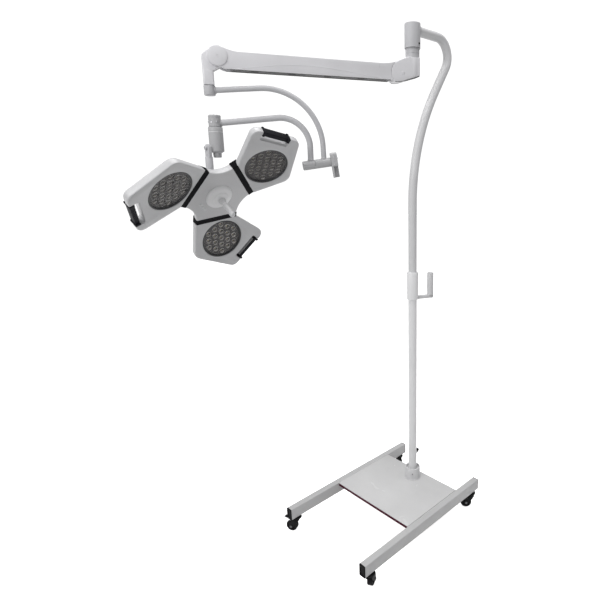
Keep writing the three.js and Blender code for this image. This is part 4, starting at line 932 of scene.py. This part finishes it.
def petal_shell():
    corners = [(x - HINGE_R - (5 if x < 120 else 0), y, r) for x, y, r in PETAL][::-1]
    rings = [[(x, y, FACE_Z + up) for x, y in rounded(corners, inset, 12)] for inset, up in CROWN]
    body = loft(rings)
    lamp = spun([(0, -6), (LAMP_R + 0.6, -6), (LAMP_R + 0.6, 27), (0, 27)], (*LAMP_AT, FACE_Z), sides=96)
    half = GRIP_LENGTH / 2 + 1
    notch = prism(rounded([(-half, -24, 1), (half, -24, 1), (half, SLOT_DEEP, 6), (-half, SLOT_DEEP, 6)], 0,
                          6),
                  FACE_Z - 5, BACK_Z + 5)
    body = cut(body, lamp, moved(notch, grip_matrix()))
    return soften(body, 0.9, 2, 42)


def grip():
    """Black bar across the notch, with a raised block at each end and shallow finger ribs."""
    end = GRIP_LENGTH / 2
    low, high = FACE_Z + 4, BACK_Z - 4
    bar = soften(prism(rounded([(-end, GRIP_EDGE, 2), (end, GRIP_EDGE, 2), (end, GRIP_EDGE + GRIP_WIDE, 4),
                                (-end, GRIP_EDGE + GRIP_WIDE, 4)], 0, 5), low, high), 1.6, 3, 40)
    parts = [bar]
    for s in (-1, 1):
        x0, x1 = sorted((s * end, s * (end - 9)))
        parts.append(block((x0, -1, low - 5.4), (x1, GRIP_EDGE + GRIP_WIDE, high), 1.8, 3))
    for x in range(-36, 37, 8):
        parts.append(block((x - 1, GRIP_EDGE + 1.5, low - 0.6),
                           (x + 1, GRIP_EDGE + GRIP_WIDE - 2, high + 0.6), 0.5, 2))
    return moved(joined(parts), grip_matrix())


def slot_shade_strip():
    """Grey strip on the bar's inner side: painted shade of the slot wall."""
    half, inner = GRIP_LENGTH / 2 - 9.6, GRIP_EDGE + GRIP_WIDE
    return moved(block((-half, inner - 0.6, FACE_Z + 5), (half, inner + 1.1, BACK_Z - 5), 0.7),
                 grip_matrix())


def lamp_spots():
    pitch = 28.6
    spots = []
    for row in range(-2, 3):
        count = 5 - abs(row)
        for k in range(count):
            spots.append(((k - (count - 1) / 2) * pitch, row * pitch * sqrt(3) / 2))
    return spots


def lamp_parts():
    x, y = LAMP_AT
    z = FACE_Z + 0.6
    bezel = [(70.5, 6.5), (71.5, 2.4), (73, 0.6), (75.6, 0), (76.8, 0.9), (77, 2.4), (77, 9), (70.5, 9)]
    board = [(0, 6), (71.5, 6), (71.5, 23), (0, 23)]
    hole = [(0, -2), (12.4, -2), (12.4, 16), (0, 16)]
    cup = [(12.3, 17), (3.2, 17), (3.2, 16), (5.5, 15.4), (9, 12), (10.9, 8.6), (11.7, 6.6), (12.3, 6.6)]
    ring = [(8.6 + 1.7 * cos(rad(a)), 8.4 + 1.9 * sin(rad(a))) for a in range(0, 360, 45)]
    die = [(0, 14.6), (2.6, 14.6), (3.0, 15.2), (3.0, 17), (0, 17)]
    lens = [(0, 8.4), (2.2, 8.8), (4.0, 10.0), (5.0, 11.8), (5.0, 13), (3.5, 13.8), (0, 14)]
    window = [(0, 2.2), (70.6, 2.2), (70.9, 2.5), (70.9, 3.4), (70.6, 3.6), (0, 3.6)]

    def whole(profile, sides=72, closed=False):
        return spun(profile, (x, y, z), sides=sides, closed=closed)

    def each(profile, sides, closed=False):
        return joined([spun(profile, (x + a, y + b, z), sides=sides, closed=closed) for a,
                       b in lamp_spots()])

    return (whole(bezel, 96, True), cut(whole(board), each(hole, 28)), each(cup, 32, True),
            each(ring, 24, True),
            each(die, 16), each(lens, 24), whole(window))


def band(i):
    """Black rubber sleeve over the joint between the middle and a petal, wider at the back."""
    stations = [(0.0, 1.4), (0.03, 0.5), (0.1, 0.0), (0.30, 0.0), (0.345, 0.9), (0.39, 0.0), (0.61, 0.0),
                (0.655, 0.9),
                (0.70, 0.0), (0.9, 0.0), (0.97, 0.5), (1.0, 1.4)]
    half, low, high = 77.5, FACE_Z - 1.5, BACK_Z + 1.5
    rings = []
    for share, inset in stations:
        corners = [(-half, low, 4), (half, low, 4), (half, high, 13), (-half, high, 13)]
        ring = []
        for y, z in rounded(corners, inset, 7):
            wedge = (z - FACE_Z) * tan(FOLD)
            ring.append((92 + share * (21.7 + max(wedge, 0)), y, z))
        rings.append(ring)
    return piece(loft(rings), f"band_{i + 1}", "head", spoke(i), RUBBER,
                 f"rubber_band_{i + 1}", 50)


def middle_outline():
    edge, neck, waist, half = 100.0, 91.7, 92.0, 76.0
    points = []
    for i in range(3):
        turn = Matrix.Rotation(SPIN + rad(120 * i), 2)
        following = Matrix.Rotation(SPIN + rad(120 * (i + 1)), 2)
        hollow = Matrix.Rotation(SPIN + rad(120 * i + 60), 2) @ Vector((waist, 0))
        a, b = turn @ Vector((edge, -half)), turn @ Vector((edge, half))
        c = turn @ Vector((neck, half))
        d = following @ Vector((neck, -half))
        points += [tuple(a), tuple(b), tuple(c)] + curve3(tuple(c), tuple(hollow), tuple(d), 14)
    return points


def inset_outline(points, d):
    """Closed counter-clockwise outline moved in by d along its corners' bisectors."""
    out = []
    n = len(points)
    for i in range(n):
        p, q, r = (Vector(points[(i + k) % n]) for k in (-1, 0, 1))
        e, f = (q - p).normalized(), (r - q).normalized()
        a, b = Vector((-e.y, e.x)), Vector((-f.y, f.x))
        m = (a + b).normalized()
        out.append(tuple(q + m * d / max(m.dot(a), 0.5)))
    return out


def middle():
    outline = middle_outline()
    crown = [(3.6, 0.0), (2.2, 0.4), (0.9, 1.3), (0.2, 2.6), (0.0, 4.0), (0.0, 13.0), (0.6, 20.0),
             (2.0, 25.0),
             (4.6, 29.4), (8.0, 32.4), (12.0, 34.0)]
    rings = [[(x, y, FACE_Z + up) for x, y in inset_outline(outline, inset)] for inset, up in crown]
    body = cut(loft(rings), key_holes())
    piece(body, "middle_shell", "head", HEAD, SHELL, "head_hub")
    boss = [(0, BACK_Z - 1), (39, BACK_Z - 1), (38.6, BACK_Z + 1), (35, BACK_Z + 5.4), (33, BACK_Z + 6),
            (0, BACK_Z + 6)]
    ears = []
    for y0 in (-17, 9):
        ear = [(-16, BACK_Z), (16, BACK_Z), (13, 0)] + arc(0, 0, 13, 0, 180, 24)[1:]
        ears.append(soften(slab(ear, y0, y0 + 8), 1.4, 3, 35))
    pin = rod(10, (0, -16.5, 0), (0, 16.5, 0), 0.6)
    caps = [cap_screw(6, (0, s * 16.4, 0), (0, s, 0), 2) for s in (-1, 1)]
    piece(joined([lathe(boss, 64)] + ears), "rear_yoke", "head", HEAD, SHELL)
    piece(joined([pin] + caps), "rear_hinge_pin", "head", HEAD, STEEL)


KEYPAD_BEARING, KEY_OUT, KEY_PITCH = rad(-132), 66, 14


def key_spots():
    turn = Matrix.Rotation(KEYPAD_BEARING, 2)
    centre, along = turn @ Vector((KEY_OUT, 0)), turn @ Vector((0, KEY_PITCH))
    return [tuple(centre + along * k) for k in (-1, 0, 1)]


def key_holes():
    well = [(0, -5), (4.9, -5), (4.9, 8), (0, 8)]
    return joined([spun(well, (x, y, FACE_Z), sides=28) for x, y in key_spots()])


def dome_and_handle():
    low = FACE_Z - 0.3
    profile = [(0, -20), (11, -20), (13.2, -19.6), (15, -18.8), (21, -18.4), (25, -17.4), (27.4, -15.4),
               (28.6, -13.4),
               (31, -12.6), (36, -11.4), (41, -8.8), (45, -5.4), (47.4, -2.2), (48, 0), (0, 0)]
    dome = lathe([(r, low + z) for r, z in profile], 96)
    piece(dome, "dome_dish", "head", HEAD, FACE, "centre_dome")
    tip = low - 20.3
    wand = [(0, -81), (6.6, -81), (8.4, -80.2), (9.6, -78.4), (9.9, -76), (10, -70), (9.7, -40), (9.2, -14),
            (9.8, -10),
            (12.4, -6.4), (13, -4.6), (13, -0.6), (12.4, 0), (0, 0)]
    piece(lathe([(r, tip + z) for r, z in wand], 56), "sterile_wand", "handle", HEAD, WAND,
          "sterile_handle")
    seam = lathe([(9.2, tip - 24.6), (10.2, tip - 24.2), (10.2, tip - 22.8), (9.2, tip - 22.4)], 48, True)
    piece(seam, "sterile_wand_ring", "handle", HEAD, FACE)
    film = rounded([(58.6, -23, 4), (73.4, -23, 4), (73.4, 23, 4), (58.6, 23, 4)], 0, 6)
    film = soften(prism(film, FACE_Z - 0.45, FACE_Z + 0.5), 0.2, 1, 40)
    film = moved(film, Matrix.Rotation(KEYPAD_BEARING, 4, "Z"))
    piece(cut(film, key_holes()), "keypad_film", "head", HEAD, KEYPAD)
    cap = [(0, -1.6), (3.2, -1.6), (4.1, -1.3), (4.5, -0.7), (4.5, 2.9), (0, 2.9)]
    for k, (x, y) in enumerate(key_spots(), 1):
        piece(spun(cap, (x, y, FACE_Z), sides=32), f"key_cap_{k}", f"key_{k}", HEAD, WAND,
              f"button_{k}")


def copy_of(obj):
    return linked("copy", obj.data.copy())


def petals():
    shell, bar, slot_shade = petal_shell(), grip(), slot_shade_strip()
    lamp = lamp_parts()
    # The lamp rings carry the painted glint of the optics.
    names = (("lamp_bezel", RIM), ("lamp_board", BOARD), ("lamp_cups", CUP), ("lamp_glint_rings", GLINT),
             ("lamp_dies", DIE), ("lamp_lenses", LENS), ("lamp_window", WINDOW))
    for i in range(3):
        m, tag = petal_frame(i), i + 1
        band(i)
        piece(copy_of(shell), f"petal_cover_{tag}", "head", m, SHELL, f"petal_shell_{tag}",
              30)
        piece(copy_of(bar), f"grip_handle_{tag}", "head", m, GRIP, f"grip_bar_{tag}")
        piece(copy_of(slot_shade), f"grip_slot_shade_{tag}", "head", m, SLOT_SHADE)
        for obj, (name, material) in zip(lamp, names):
            node = f"led_module_{tag}" if name == "lamp_bezel" else ()
            piece(copy_of(obj), f"{name}_{tag}", "head", m, material, node)
    for obj in (shell, bar, slot_shade, *lamp):
        bpy.data.objects.remove(obj)


# ---- build
base()
for corner, braked in (("front_left", True), ("front_right", True), ("rear_left", False),
                       ("rear_right", False)):
    caster(corner, braked)
pole()
hub()
hub_bracket()
beam()
balance_parts()
knuckle()
first_arm()
second_arm()
head_joint()
middle()
dome_and_handle()
petals()

bearing_slots = frame["nodes"]["hub_bearing"].data.materials
bearing_slots.clear()
bearing_slots.append(STEEL)

# ---- stage, light, camera


def pale_floor():
    floor = mesh_object([(-14, -14, 0), (14, -14, 0), (14, 14, 0), (-14, 14, 0)], [(0, 1, 2, 3)])
    floor.name = "studio_floor"
    n = Nodes("studio_floor")
    tone = n.mix(n.span(n.noise(2.0), 0, 1), (0.93, 0.93, 0.93), (0.96, 0.96, 0.96))
    n.feed("Base Color", tone)
    n.feed("Emission Color", tone)
    n.fix(Emission_Strength=0.93, Roughness=0.8, Specular_IOR_Level=0.1)
    floor.data.materials.append(n.material)
    floor.visible_diffuse = False
    sky = lathe([(0, -20), (14, -14), (20, 0), (14, 14), (0, 20)], 48)
    sky.name = "studio_backdrop"
    glow = Nodes("studio_backdrop")
    white = glow.mix(glow.span(glow.noise(0.1), 0, 1), (1, 1, 1), (0.99, 0.99, 0.99))
    glow.feed("Emission Color", white)
    glow.fix(Base_Color=(0, 0, 0, 1), Emission_Strength=1.05)
    sky.data.materials.append(glow.material)
    sky.visible_diffuse = sky.visible_glossy = sky.visible_shadow = sky.visible_transmission = False


def area_light(name, place, aim, size, power):
    data = bpy.data.lights.new(name, "AREA")
    data.shape, data.size, data.energy = "SQUARE", size, power
    obj = linked(name, data)
    obj.location = place
    obj.rotation_euler = (Vector(aim) - Vector(place)).to_track_quat("-Z", "Y").to_euler()


def lights():
    area_light("key", (0.4, -2.9, 3.0), (0, 0, 1.6), 1.8, 50)
    area_light("top", (0.0, 0.2, 4.6), (0, 0, 1), 2.4, 80)
    world = bpy.data.worlds.new("studio")
    bpy.context.scene.world = world
    world.use_nodes = True
    background = world.node_tree.nodes["Background"]
    background.inputs["Color"].default_value = (1, 1, 1, 1)
    background.inputs["Strength"].default_value = 0.42


def camera():
    """Pinhole at the viewing angle, solved as bearing, pitch and roll, standing off the pole's axis."""
    bearing, pitch, roll = rad(43.494), rad(-12.895), rad(-0.467)
    forward = Vector((-sin(bearing) * cos(pitch), cos(bearing) * cos(pitch), sin(pitch)))
    right = Vector((cos(bearing), sin(bearing), 0))
    up = right.cross(forward)
    right, up = (right * cos(roll) + up * sin(roll), up * cos(roll) - right * sin(roll))
    data = bpy.data.cameras.new("view")
    data.sensor_width, data.lens = 36, 29.484
    data.shift_x, data.shift_y = -0.1595, -0.0178
    obj = linked("view", data)
    turn = Matrix((right, up, -forward)).transposed().to_4x4()
    stand = (hub_at.x + 1.3765, hub_at.y - 1.5568, 1.5088)
    obj.matrix_world = Matrix.Translation(stand) @ turn
    bpy.context.scene.camera = obj


pale_floor()
lights()
camera()
bpy.context.scene.view_settings.view_transform = "Standard"
